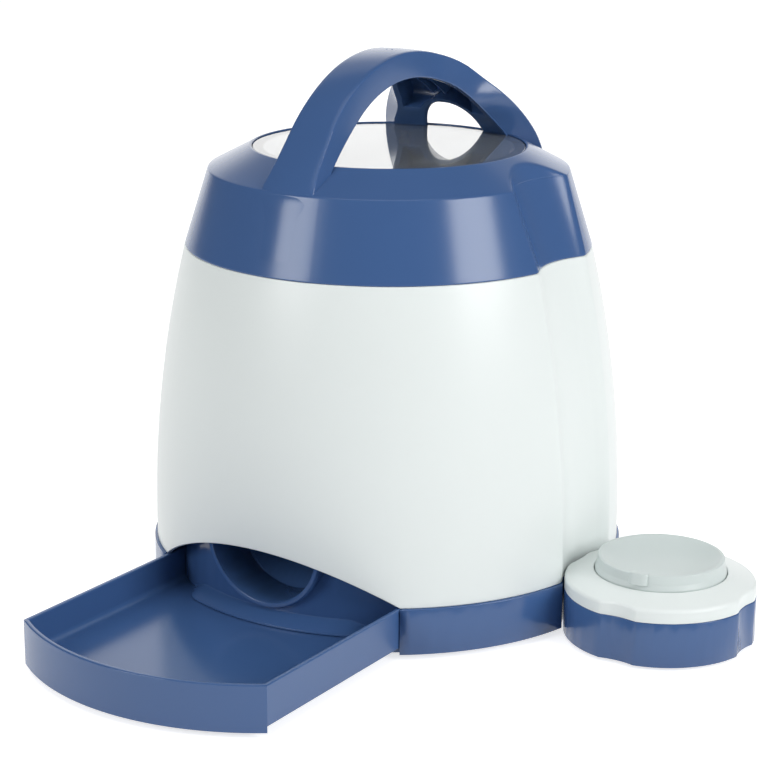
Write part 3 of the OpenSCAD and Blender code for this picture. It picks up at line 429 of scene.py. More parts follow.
class FEEDER_OT_lid(bpy.types.Operator):
    """Models the lid's leaning wall, its slope and the seat of the window"""
    bl_idname = "feeder.lid"
    bl_label = "Lid"

    # Clearance round the window, width and thickness of the ledge it lies on
    SEAT_GAP, LEDGE_W, LEDGE_T = 0.25 * MM, 4.5 * MM, 1.8 * MM
    # Where the shoulder draws in under the front leg: half width from and to, height either way and depth
    DIP_FROM, DIP_TO, DIP_UP, DIP_DEPTH = 11.6 * MM, 10.4 * MM, 9 * MM, 0.9 * MM

    def execute(self, context):
        sizes = context.scene.feeder_sizes
        drum = Drum(sizes)
        foot, edge, rim = lid_profile(sizes)
        wall, soft = sizes.lid_wall, sizes.edge
        seat_r = WINDOW_R + self.SEAT_GAP
        ledge_r = WINDOW_R - self.LEDGE_W
        ledge_z = Z_SEAT - self.LEDGE_T
        corners = [
            (*foot, soft), (*edge, sizes.lid_edge), (*rim, soft), (seat_r, rim.y, soft / 2),
            (seat_r, Z_SEAT, 0), (ledge_r, Z_SEAT, soft / 2), (ledge_r, ledge_z, soft / 2),
            (rim.x, rim.y - 2 * wall, soft), (edge.x - wall, edge.y - wall, soft),
            (foot.x - wall, foot.y, soft),
        ]
        outline = rounded(corners)
        levels = []
        for here, after in zip(outline, outline[1:] + outline[:1]):
            levels.append(here)
            parts = int((after - here).length / (0.6 * MM if here.y > edge.y else 2 * MM))
            levels += [mix(here, after, i / parts) for i in range(1, parts)]
        angles = ring_angles(bands=FLUTE_BANDS + ((-8, 8), (172, 188), (258, 282)))
        rows = []
        for r, z in levels:
            outer = mix(foot.x, edge.x, (z - foot.y) / (edge.y - foot.y)) if z < edge.y else (
                mix(edge.x, rim.x, (z - edge.y) / (rim.y - edge.y)))
            grow = min(max(outer - r, 0), wall)
            high = max(z, Z_JOINT + WELD)
            row = [r if grow else r - self.dip(a, r, z, edge) for a in angles]
            rows.append([drum.point(a, high, out, grow) for a, out in zip(angles, row)])
        bm = bmesh.new()
        add_grid(bm, rows, closed=True, wrap=True)
        new_piece("lid", bm, "lid", SLOTS["lid_shell"], ("lid_shell",))
        return {"FINISHED"}

    def dip(self, angle, r, z, edge):
        """How far the shoulder draws in where the handle's front leg covers it."""
        side = abs(r * math.cos(angle))
        if math.sin(angle) > 0 or side > self.DIP_FROM:
            return 0
        up = (z - edge.y) / self.DIP_UP
        return self.DIP_DEPTH * eased(self.DIP_FROM, self.DIP_TO, side) * max(1 - up * up, 0)


def lid_top(foot, edge, rim, r):
    """Height of the lid's surface at a radius."""
    if r >= edge.x:
        return mix(edge.y, foot.y, (r - edge.x) / (foot.x - edge.x))
    return mix(rim.y, edge.y, max(r - rim.x, 0) / (edge.x - rim.x))


def eased(low, high, value):
    t = min(max((value - low) / (high - low), 0), 1)
    return t * t * (3 - 2 * t)


def curve(points, at):
    """The height of a smooth curve through given points."""
    if at <= points[0][0]:
        return points[0][1]
    for i, ((x0, y0), (x1, y1)) in enumerate(zip(points, points[1:])):
        if at <= x1:
            before, after = points[max(i - 1, 0)], points[min(i + 2, len(points) - 1)]
            slope_0 = (y1 - before[1]) / (x1 - before[0]) * (x1 - x0)
            slope_1 = (after[1] - y0) / (after[0] - x0) * (x1 - x0)
            t = (at - x0) / (x1 - x0)
            return (y0 * (1 + 2 * t) * (1 - t) ** 2 + slope_0 * t * (1 - t) ** 2
                    + y1 * t * t * (3 - 2 * t) + slope_1 * t * t * (t - 1))
    return points[-1][1]


class FEEDER_OT_handle(bpy.types.Operator):
    """Models the three-legged handle as sections along its arch, from the front leg to the rear legs"""
    bl_idname = "feeder.handle"
    bl_label = "Handle"

    # Half widths in millimetres at angles from the top, the front being negative
    OUTER_HALF = (
        (-86, 12.2), (-72, 12.2), (-68, 12), (-65, 11.4), (-61, 10.6), (-56, 10.1), (-50, 9.7), (-35, 9.2),
        (-15, 9.3), (0, 9.5), (14, 10.8), (21, 14.3), (28, 17.6), (34, 19.9), (38, 22.5), (42, 25.9),
        (46, 29), (50, 31.8), (54, 34.2), (58, 36.2), (62, 37.7), (70, 38.8), (84, 39.2),
    )
    INNER_HALF = (
        (-58, 12.2), (-48, 11.2), (-38, 10.4), (-20, 10), (0, 10.6), (14, 12.4), (21, 14.9), (28, 17.3),
        (34, 19.2), (42, 21.5), (46, 22.9), (50, 25.1), (54, 27.5), (62, 29.7), (70, 30.5),
    )
    # Angles from the top between which the rear turns from a band into a dome, and how round the dome is
    DOME, DOME_SHARE = (15, 40), 0.7
    # Angles from the top between which the outer curve leans further than the inner one, and its share
    LEAN, LEAN_SHARE = (18, 57), 0.235
    # Heights between which the front leg's face comes to stand proud, and between which it turns with the lid
    PROUD_Z, TURN_Z = (192 * MM, 178 * MM), (197 * MM, 179 * MM)
    # Half the width of the front leg's foot
    FOOT_HALF = 12 * MM
    # The inner curve's flare in the front leg: where it starts, over what height, and how far it goes
    FLARE_TOP, FLARE_H, FLARE_OUT = 200 * MM, 14.7 * MM, 4.9 * MM
    # The rim of the gap starts so many degrees above the gap
    GAP_RIM = 2.4
    # The two pips on top: half their distance, radius, height and the swell they stand on
    PIP_X, PIP_R, PIP_H, PIP_LIFT = 1.25 * MM, 0.6 * MM, 0.35 * MM, 0.1 * MM

    def execute(self, context):
        sizes = context.scene.feeder_handle
        self.sizes = sizes
        self.lid = lid_profile(context.scene.feeder_sizes)
        self.middle_z = Z_HANDLE - sizes.arch_r
        top, foot = math.degrees(sizes.gap_top), math.degrees(sizes.gap_foot)
        span = foot - top
        self.rim_top = top - self.GAP_RIM
        # Angles of the sections, closer in the front leg and where the gap opens
        stations = [-71 + 1.5 * i for i in range(27)] + [-30 + 3 * i for i in range(22)]
        stations += [35, 37, self.rim_top] + [self.rim_top + self.GAP_RIM * (i / 7) ** 2 for i in range(1, 7)]
        stations += [foot - span * math.cos(math.radians(5 * i)) for i in range(17)] + [foot + 2, foot + 4]
        bm = bmesh.new()
        for side in (1, -1):
            rows = [self.section(a, side) for a in sorted(set(stations))]
            add_grid(bm, rows, closed=True, ends=True)
            self.rib(bm, side)
        middle = [f for f in bm.faces if all(abs(v.co.x - FEEDER.x) < WELD for v in f.verts)]
        bmesh.ops.delete(bm, geom=middle, context="FACES_ONLY")
        for x in (-self.PIP_X, self.PIP_X):
            self.pip(bm, x)
        new_piece("carrying_handle", bm, "lid", SLOTS["handle"], ("handle",), sharp=38)
        return {"FINISHED"}

    def outer_y(self, z):
        """How far forward the front leg's face stands at a height: the arch, a flare and the lid's wall."""
        sizes, (foot, edge, rim) = self.sizes, self.lid
        if z < edge.y:
            return mix(edge.x, foot.x, (edge.y - z) / (edge.y - foot.y))
        arch = math.sqrt(sizes.arch_r ** 2 - (z - self.middle_z) ** 2)
        if z > sizes.flare_z:
            return arch
        reach_at_edge = edge.x - math.sqrt(sizes.arch_r ** 2 - (edge.y - self.middle_z) ** 2)
        return arch + reach_at_edge * ((sizes.flare_z - z) / (sizes.flare_z - edge.y)) ** 1.1

    def outer(self, angle):
        """The outer curve's point at an angle, led softly into the lid's wall in the front leg."""
        sizes, edge = self.sizes, self.lid[1]
        y = sizes.arch_r * math.sin(angle)
        z = self.middle_z + sizes.arch_r * math.cos(angle)
        if angle < 0 and z < sizes.flare_z + 6 * MM:
            y = -sum(self.outer_y(z + 1.5 * MM * k) for k in range(-3, 4)) / 7
            y -= sizes.proud * eased(*self.PROUD_Z, z)
            y += 2 * sizes.proud * eased(edge.y - MM, edge.y - 9 * MM, z)
        return Vector((0, y, z))

    def inner(self, angle):
        """The inner curve's point at an angle, flared out to the window's rim in the front leg."""
        radius = self.sizes.arch_r - self.sizes.thickness
        y = radius * math.sin(angle)
        z = self.middle_z + radius * math.cos(angle)
        if angle < 0 and z < self.FLARE_TOP:
            y -= self.FLARE_OUT * min((self.FLARE_TOP - z) / self.FLARE_H, 1.3) ** 1.3
        return Vector((0, y, z))

    def place(self, x, depth, out, inn):
        """A point of a section, kept from showing inside the lid."""
        point = out.lerp(inn, depth)
        y = point.y
        if y < 0:
            turn_in = eased(*self.TURN_Z, out.z) * (1 - min(depth, 1))
            y += (-y - math.sqrt(max(y * y - x * x, 0))) * turn_in
            if depth < 0.2:
                shoulder = self.lid[1].y
                sunk = eased(shoulder + MM, shoulder - 5 * MM, out.z)
                y += 2 * self.sizes.proud * (x / self.FOOT_HALF) ** 2 * sunk
        else:
            from_top = math.degrees(math.atan2(y, point.z - self.middle_z))
            y = math.sqrt(max(y * y - self.DOME_SHARE * eased(*self.DOME, from_top) * x * x, 0))
        low = lid_top(*self.lid, math.hypot(x, y)) - self.sizes.sunk
        z = max(point.z, low) if depth >= 0.2 or y > 0 else point.z
        return FEEDER + Vector((x, y, z))

    def lean(self, degrees):
        """The outer curve's angle that goes with an angle of the inner curve."""
        return degrees * (1 + self.LEAN_SHARE * eased(*self.LEAN, abs(degrees)))

    def section(self, degrees, side):
        """The closed outline of the handle's right or left half at an angle."""
        sizes = self.sizes
        lean = self.lean(degrees)
        out, inn = self.outer(math.radians(lean)), self.inner(math.radians(degrees))
        thick = sizes.thickness
        half_o = curve(self.OUTER_HALF, lean) * MM
        half_i = curve(self.INNER_HALF, degrees) * MM
        top, foot = math.degrees(sizes.gap_top), math.degrees(sizes.gap_foot)
        gap = rim = 0.0
        if degrees > self.rim_top:
            run = min(max((foot - degrees) / (foot - self.rim_top), 0), 1)
            rim = (sizes.gap_half + sizes.rim) * math.sqrt(1 - run * run)
        if degrees > top:
            run = max((foot - degrees) / (foot - top), 0)
            gap = sizes.gap_half * math.sqrt(1 - run * run)
        e = sizes.edge
        g = min(e, gap)
        up = e / thick
        hollow = mix(sizes.skin / thick, 1, max(eased(39, 47, degrees), eased(-46, -52, degrees)))
        wide = half_i - sizes.rim
        far = gap + sizes.gap_splay * gap / sizes.gap_half
        shape = [(far, g / thick), (far + 0.3 * g, 0.3 * g / thick), (far + g, 0)]
        shape += [(mix(far + g, half_o - e, i / 6), 0) for i in range(1, 7)]
        shape += [(half_o - 0.3 * e, 0.3 * up), (half_o, up), (mix(half_o, half_i, 0.5), 0.5)]
        shape += [(half_i, 1 - up), (half_i - 0.3 * e, 1 - 0.3 * up), (half_i - e, 1), (wide, 1)]
        shape += [(wide - 0.3 * MM, hollow), (mix(wide, rim, 0.5), hollow)]
        if rim == 0:
            shape += [(0, hollow)] * 7
        elif gap == 0:
            shape += [(rim + 0.3 * MM, hollow), (rim, 1), (rim / 2, 1)] + [(0, 1)] * 4
        else:
            shape += [(rim + 0.3 * MM, hollow), (rim, 1), (mix(rim, gap, 0.5), 1), (gap + g, 1),
                      (gap + 0.3 * g, 1 - 0.3 * g / thick), (gap, 1 - g / thick), (mix(gap, far, 0.5), 0.5)]
        points = []
        for x, depth in shape:
            swell = sizes.crown * (1 - (x / half_o) ** 2) / thick if depth == 0 and gap == 0 else 0
            points.append(self.place(side * x, depth - swell, out, inn))
        return points

    def rib(self, bm, side):
        """A long rib in the hollow underside."""
        sizes = self.sizes
        rows = []
        for degrees in range(-44, 39, 4):
            out, inn = self.outer(math.radians(self.lean(degrees))), self.inner(math.radians(degrees))
            hollow = sizes.skin / sizes.thickness
            box = ((2.5, hollow - 0.03), (2.6, 0.88), (3.4, 0.88), (3.5, hollow - 0.03))
            rows.append([FEEDER + out.lerp(inn, d) + Vector((side * x * MM, 0, 0)) for x, d in box])
        add_grid(bm, rows, closed=True, ends=True)

    def pip(self, bm, x):
        """A tiny moulded pip on top of the arch."""
        rows = []
        for lift in range(4):
            t = math.radians(30 * lift)
            ring = self.PIP_R * math.cos(t) + WELD
            z = Z_HANDLE + self.PIP_LIFT + self.PIP_H * math.sin(t)
            rows.append([FEEDER + Vector((x + ring * math.cos(a), ring * math.sin(a), z))
                         for a in (math.radians(30 * i) for i in range(12))])
        add_grid(bm, rows, closed=True, ends=True)


class FEEDER_OT_tray(bpy.types.Operator):
    """Models the tray as its wall's outline swept round the sides and the bowed front"""
    bl_idname = "feeder.tray"
    bl_label = "Tray"

    def execute(self, context):
        sizes = context.scene.feeder_tray
        low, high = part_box("tray")
        self.half = (high.x - low.x) / 2
        self.back = high.y - FEEDER.y
        self.turn_y = low.y - FEEDER.y + BASE_R
        top, side_z = high.z, low.z + sizes.skirt
        bed = top - sizes.depth
        under = bed - sizes.bed
        wall, edge = sizes.wall, sizes.edge
        outline = rounded([
            (wall, under, 0), (wall, side_z, edge / 2), (0, side_z, edge), (0, top, edge), (wall, top, edge),
            (wall, bed, sizes.fillet), (wall + 2 * sizes.fillet, bed, 0),
        ], closed=False)
        bm = bmesh.new()
        rows = []
        for inset, z in outline:
            drop = sizes.skirt if z < side_z + edge + WELD else 0
            rows.append(self.path(inset, z, z - drop))
        add_grid(bm, rows)
        for row in (rows[0], rows[-1]):
            self.plate(bm, row)
        bmesh.ops.remove_doubles(bm, verts=bm.verts, dist=WELD)
        self.runners(bm, under, side_z, wall)
        rim = [e for e in bm.edges if e.is_boundary]
        bmesh.ops.edgeloop_fill(bm, edges=rim)
        new_piece("treat_tray", bm, "tray", SLOTS["tray"], ("tray",), sharp=35, bevel=0.45 * MM)
        return {"FINISHED"}

    def path(self, inset, side_z, front_z):
        """The way round the tray at an inset from its outside: one side, the front and the other side."""
        half, radius = self.half - inset, BASE_R - inset
        corner_y = self.turn_y - math.sqrt(radius ** 2 - half ** 2)
        spread = math.asin(half / radius)
        left = [Vector((-half, mix(self.back, corner_y, i / 10), side_z)) for i in range(11)]
        front = []
        for i in range(49):
            a = mix(-spread, spread, i / 48)
            front.append(Vector((radius * math.sin(a), self.turn_y - radius * math.cos(a), front_z)))
        right = [Vector((-p.x, p.y, p.z)) for p in reversed(left)]
        return [FEEDER + p for p in left + front + right]

    def plate(self, bm, row):
        """A flat plate within a way round the tray."""
        count = len(row) // 2
        rows = []
        for i in range(count + 1):
            a, b = row[i], row[-1 - i]
            rows.append([a.lerp(b, j / 6) for j in range(7)])
        add_grid(bm, rows)

    def runners(self, bm, under, low, wall):
        """The two runners under the bed."""
        front = self.turn_y - math.sqrt((BASE_R - wall) ** 2 - (self.half / 3) ** 2)
        for x in (-self.half / 3, self.half / 3):
            outline = rounded([
                (x - 1.5 * wall, under + WELD, 0), (x - 1.4 * wall, low, 0.5 * MM),
                (x + 1.4 * wall, low, 0.5 * MM), (x + 1.5 * wall, under + WELD, 0),
            ], closed=False)
            rows = [[FEEDER + Vector((p.x, y, p.y)) for p in outline] for y in (front, self.back - 0.2 * MM)]
            add_grid(bm, rows, closed=True, ends=True)


class FEEDER_OT_window(bpy.types.Operator):
    """Models the clear disc in the lid"""
    bl_idname = "feeder.window"
    bl_label = "Window"

    def execute(self, context):
        edge = 0.6 * context.scene.feeder_sizes.edge
        top = Z_WINDOW - context.scene.feeder_sizes.edge
        outline = rounded([
            (WINDOW_R / 2, Z_SEAT, 0), (WINDOW_R, Z_SEAT, edge),
            (WINDOW_R, top, edge), (WINDOW_R / 2, top, 0),
        ], closed=False)
        rows = [[turned(FEEDER, p, a) for a in ring_angles(step=3)] for p in outline]
        bm = bmesh.new()
        add_grid(bm, rows, closed=True, ends=True)
        new_piece("window_disc", bm, "lid", SLOTS["window"], ("window",))
        return {"FINISHED"}


class FEEDER_OT_outlet(bpy.types.Operator):
    """Models the rounded lip around the outlet behind the tray, and the apron below it"""
    bl_idname = "feeder.outlet"
    bl_label = "Outlet"

    def execute(self, context):
        sizes = context.scene.feeder_tray
        inner, outer = sizes.collar_r, sizes.collar_r + sizes.collar_wall
        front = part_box("chassis")[0].y - FEEDER.y
        axis = Z_RIM - sizes.depth + sizes.collar_sill + outer
        bead, soft = sizes.collar_bead, 0.5 * MM
        outline = rounded([
            (inner + 0.1 * MM, -bead, soft), (outer - 0.1 * MM, -bead, soft),
            (outer + 0.5 * MM, 0.4 * bead, soft), (outer - 0.3 * MM, 2 * MM, 0),
            (inner + 0.3 * MM, 2 * MM, 0), (inner + 0.1 * MM, 0, 0),
        ])
        rows = [[FEEDER + Vector((p.x * math.sin(a), front + p.y, axis - p.x * math.cos(a)))
                 for a in (2 * math.pi * i / 96 for i in range(96))] for p in outline]
        bm = bmesh.new()
        add_grid(bm, rows, closed=True, wrap=True)
        new_piece("outlet_lip", bm, "feeder", SLOTS["chassis"])
        self.apron(sizes)
        return {"FINISHED"}

    def apron(self, sizes):
        """The sloped apron that leads from the wall below the outlet to the bed."""
        low = Z_RIM - sizes.depth + sizes.apron_gap
        spread = math.asin(sizes.apron_half / sizes.wall_r)
        rows = []
        for i in range(61):
            a = mix(-spread, spread, i / 60)
            out = sizes.apron_out * eased(1, 0.72, abs(a) / spread)
            outline = rounded([
                (-0.6 * MM, low, 0), (out, low, 0.1 * MM), (out - 0.1 * MM, low + 0.7 * MM, 0.2 * MM),
                (0.2 * MM, low + 0.8 * MM + 0.55 * out, 0.6 * MM), (-0.6 * MM, low + 1.6 * MM + 0.6 * out, 0),
            ], closed=False)
            rows.append([turned(FEEDER, Vector((sizes.wall_r + p.x, p.y)), a - math.pi / 2) for p in outline])
        bm = bmesh.new()
        add_grid(bm, rows, closed=True, ends=True)
        new_piece("outlet_apron", bm, "feeder", SLOTS["chassis"])


def remote_plan(sizes, angle, inset=0.0):
    """Radius of the remote's scalloped outline in a direction."""
    off = REMOTE_R - sizes.scallop_depth + sizes.scallop_r
    dip = sizes.scallop_r + inset
    beside = (angle + math.pi / 4) % (math.pi / 2) - math.pi / 4
    left = dip ** 2 - (off * math.sin(beside)) ** 2
    full = REMOTE_R - inset
    if left <= 0:
        return full
    return smooth_min(full, off * math.cos(beside) - math.sqrt(left), 0.7 * MM)


class FEEDER_OT_remote(bpy.types.Operator):
    """Models the remote's white ring and its frosted cup"""
    bl_idname = "feeder.remote"
    bl_label = "Remote"

    # Width of the cup's lip, and the steps and the steepness of the bowl within it
    LIP_W, BOWL_STEPS, BOWL_POWER = 1.4 * MM, 16, 3.2
    # Depth of the cup's flange below the ring, and its thickness
    FLANGE_DROP, FLANGE_T = 2.7 * MM, 1.2 * MM
    # How far the tab stands out, and its height above the ring
    TAB_LIFT, TAB_UP = 1.2 * MM, 2.1 * MM

    def execute(self, context):
        sizes = context.scene.feeder_remote
        self.ring(sizes)
        self.cup(sizes)
        return {"FINISHED"}

    def revolve(self, outlines, angles):
        columns = [[turned(REMOTE, p, a) for p in outline] for a, outline in zip(angles, outlines)]
        return list(zip(*columns))

    def ring(self, sizes):
        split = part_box("remote_base")[1].z
        top = split + sizes.ring_edge_h + sizes.ring_rise
        bore = sizes.cup_r + sizes.cup_flare + sizes.cup_gap
        land = bore + 0.8 * MM
        bands = [(middle + side - 7, middle + side + 7) for middle in (0, 90, 180, 270) for side in (-17, 17)]
        angles = ring_angles(step=2.5, fine=0.5, bands=bands)
        outlines = []
        for a in angles:
            edge = remote_plan(sizes, a, sizes.ring_in)
            z_edge = split + sizes.ring_edge_h + sizes.ring_rise * (REMOTE_R - edge) / (REMOTE_R - land)
            inside = edge - sizes.wall
            outlines.append(rounded([
                (edge, split, 0.35 * MM), (edge, z_edge, sizes.ring_round), (land, top, 0.5 * MM),
                (bore, top, 0.4 * MM), (bore, top - sizes.wall, 0.3 * MM),
                (inside - 0.6 * MM, z_edge - sizes.wall, 0.5 * MM), (inside, split, 0.3 * MM),
            ]))
        bm = bmesh.new()
        add_grid(bm, self.revolve(outlines, angles), closed=True, wrap=True)
        new_piece("remote_ring", bm, "remote", SLOTS["remote_top"], ("remote_top",))

    def cup(self, sizes):
        ring_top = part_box("remote_base")[1].z + sizes.ring_edge_h + sizes.ring_rise
        top = ring_top + sizes.cup_rise
        dish = top - sizes.dish_depth
        outer, inner = sizes.cup_r + sizes.cup_flare, sizes.cup_r - sizes.wall
        flange_r = outer + sizes.cup_gap + sizes.flange_w
        flange_z = ring_top - sizes.wall - self.FLANGE_DROP
        thick = self.FLANGE_T
        lip_r = sizes.cup_r - self.LIP_W
        bowl = []
        for i in range(1, self.BOWL_STEPS):
            t = i / self.BOWL_STEPS
            bowl.append(Vector((lip_r * t, dish + sizes.dish_depth * t ** self.BOWL_POWER)))
        outside = rounded([
            (*bowl[-1], 0), (lip_r, top, 0.5 * MM), (sizes.cup_r, top, 0.5 * MM),
            (sizes.cup_r + 0.3 * sizes.cup_flare, ring_top + 2.4 * MM, 2 * MM),
            (outer, ring_top + 0.5 * MM, 0.6 * MM), (outer, flange_z + thick, 0.2 * MM),
            (flange_r, flange_z + thick, 0.3 * MM), (flange_r, flange_z, 0.3 * MM),
            (inner, flange_z, 0.3 * MM), (inner - 0.2 * MM, top - 3.5 * MM, 1 * MM),
            (0.75 * inner, dish - sizes.wall, 1 * MM),
            (bowl[0].x, dish - sizes.wall, 0),
        ], closed=False)
        outline = bowl[:-1] + outside
        angles = ring_angles(step=3)
        bm = bmesh.new()
        add_grid(bm, self.revolve([outline] * len(angles), angles), closed=True, ends=True)
        self.tab(bm, sizes, ring_top, top)
        new_piece("frosted_press_cup", bm, "cup", SLOTS["press_cup"], ("press_cup",))

    def tab(self, bm, sizes, low, high):
        """The small tab that reaches over the cup's rim."""
        half = sizes.tab_w / 2 / sizes.cup_r
        columns = []
        for i in range(9):
            a = sizes.tab_turn + mix(-half, half, i / 8)
            lift = self.TAB_LIFT * min(1, 4 * min(i, 8 - i) / 8 + 0.35)
            foot, rim = sizes.cup_r + sizes.cup_flare * 0.92, sizes.cup_r
            start, crest, inside = low + self.TAB_UP, high + 0.6 * lift, high - 1.6 * MM
            outline = rounded([
                (foot - 0.8 * MM, start, 0), (foot + lift, start, 0.25 * MM), (rim + lift, crest, 0.6 * MM),
                (rim - 2.2 * MM, crest, 0.5 * MM), (rim - 2.8 * MM, inside, 0), (rim - 0.8 * MM, inside, 0),
            ], closed=False)
            columns.append([turned(REMOTE, p, a) for p in outline])
        add_grid(bm, columns, closed=True, ends=True)


# Finishes

def add_node(tree, kind, values=None, **settings):
    """Adds a shader node with its settings and with values for its inputs."""
    node = tree.nodes.new("ShaderNode" + kind)
    for key, value in settings.items():
        setattr(node, key, value)
    for key, value in (values or {}).items():
        node.inputs[key].default_value = value
    return node


def wire(tree, *links):
    """Joins nodes; each link is a node and its output, then the next node and its input."""
    for start, output, end, socket in links:
        tree.links.new(start.outputs[output], end.inputs[socket])


# Size of the clouds in a moulded surface, and how far they change its roughness
CLOUD_SCALE, UNEVEN = 22, 0.06


def moulded_grain():
    """A shared group: the fine grain and slight unevenness of a moulded surface."""
    if "moulded_grain" in bpy.data.node_groups:
        return bpy.data.node_groups["moulded_grain"]
    group = bpy.data.node_groups.new("moulded_grain", "ShaderNodeTree")
    for name, way, kind in (
        ("Color", "INPUT", "Color"), ("Spread", "INPUT", "Float"), ("Roughness", "INPUT", "Float"),
        ("Grain Size", "INPUT", "Float"), ("Color", "OUTPUT", "Color"), ("Roughness", "OUTPUT", "Float"),
        ("Height", "OUTPUT", "Float"),
    ):
        group.interface.new_socket(name=name, in_out=way, socket_type="NodeSocket" + kind)
    given, result = group.nodes.new("NodeGroupInput"), group.nodes.new("NodeGroupOutput")
    place = add_node(group, "TexCoord")
    cloud = add_node(group, "TexNoise", {"Scale": CLOUD_SCALE, "Detail": 3})
    grain = add_node(group, "TexNoise", {"Detail": 2})
    around = add_node(group, "Math", {1: 0.5}, operation="SUBTRACT")
    share = add_node(group, "Math", operation="MULTIPLY")
    bright = add_node(group, "Math", {1: 1}, operation="ADD")
    tint = add_node(group, "VectorMath", operation="SCALE")
    uneven = add_node(group, "Math", {1: UNEVEN}, operation="MULTIPLY_ADD")
    wire(
        group, (place, "Object", cloud, "Vector"), (place, "Object", grain, "Vector"),
        (given, "Grain Size", grain, "Scale"), (cloud, "Fac", around, 0), (around, 0, share, 0),
        (given, "Spread", share, 1), (share, 0, bright, 0), (given, "Color", tint, 0),
        (bright, 0, tint, "Scale"), (tint, 0, result, "Color"), (around, 0, uneven, 0),
        (given, "Roughness", uneven, 2), (uneven, 0, result, "Roughness"), (grain, "Fac", result, "Height"),
    )
    return group


def plastic(name, shade, roughness, grain=900.0, depth=0.01, spread=0.05, **sockets):
    """A moulded material: the shared grain feeding one Principled shader."""
    material = bpy.data.materials.new(name)
    material.use_nodes = True
    tree = material.node_tree
    shader = tree.nodes["Principled BSDF"]
    for socket, value in sockets.items():
        shader.inputs[socket.replace("_", " ")].default_value = value
    skin = add_node(tree, "Group", {
        "Color": (*shade, 1), "Spread": spread, "Roughness": roughness, "Grain Size": grain,
    }, node_tree=moulded_grain())
    bump = add_node(tree, "Bump", {"Strength": depth, "Distance": MM})
    wire(
        tree, (skin, "Color", shader, "Base Color"), (skin, "Roughness", shader, "Roughness"),
        (skin, "Height", bump, "Height"), (bump, "Normal", shader, "Normal"),
    )


# Slots of the record, each with its colour, its roughness and what else its plastic needs
FINISHES = {
    "blue_plastic": ("blue", 0.2, {}),
    "white_plastic": ("white", 0.32, {"spread": 0.02}),
    "inner_plastic": ("inner", 0.45, {"spread": 0.03}),
    "clear_window": ("window", 0.03, {"depth": 0.0, "spread": 0.02, "IOR": 1.49, "Transmission_Weight": 0.85,
                                      "Coat_Weight": 0.5, "Coat_Roughness": 0.02}),
    "frosted_cup": ("frosted", 0.38, {"spread": 0.03, "Transmission_Weight": 0.08}),
    "rubber": ("rubber", 0.7, {"grain": 600, "depth": 0.05}),
    "dome_rubber": ("dome", 0.6, {}),
    "steel": ("steel", 0.3, {"Metallic": 1.0}),
    "brass": ("brass", 0.28, {"Metallic": 1.0}),
    "cells": ("cells", 0.3, {}),
    "board": ("board", 0.4, {"grain": 300, "spread": 0.4}),
    "black_plastic": ("black", 0.5, {}),
}


def finish(slot):
    """The material of a slot of the record, made when it is first asked for."""
    name = slot + "_finish"
    if name not in bpy.data.materials:
        shade, roughness, more = FINISHES[slot]
        plastic(name, getattr(bpy.context.scene.feeder_colours, shade), roughness, **more)
    return bpy.data.materials[name]


class FEEDER_OT_frame_finish(bpy.types.Operator):
    """Finishes the CAD pieces that stay: softened edges and their own materials"""
    bl_idname = "feeder.frame_finish"
    bl_label = "Frame Finish"

    def execute(self, context):
        edge = context.scene.feeder_sizes.edge
        for node, piece in frame["nodes"].items():
            material = finish(SLOTS[node])
            if piece.material_slots:
                piece.material_slots[0].material = material
            else:
                piece.data.materials.append(material)
            weld = piece.modifiers.new("weld", "WELD")
            weld.merge_threshold = WELD
            soft_edges(piece, 0.6 * edge, 35)
        return {"FINISHED"}


# Stage

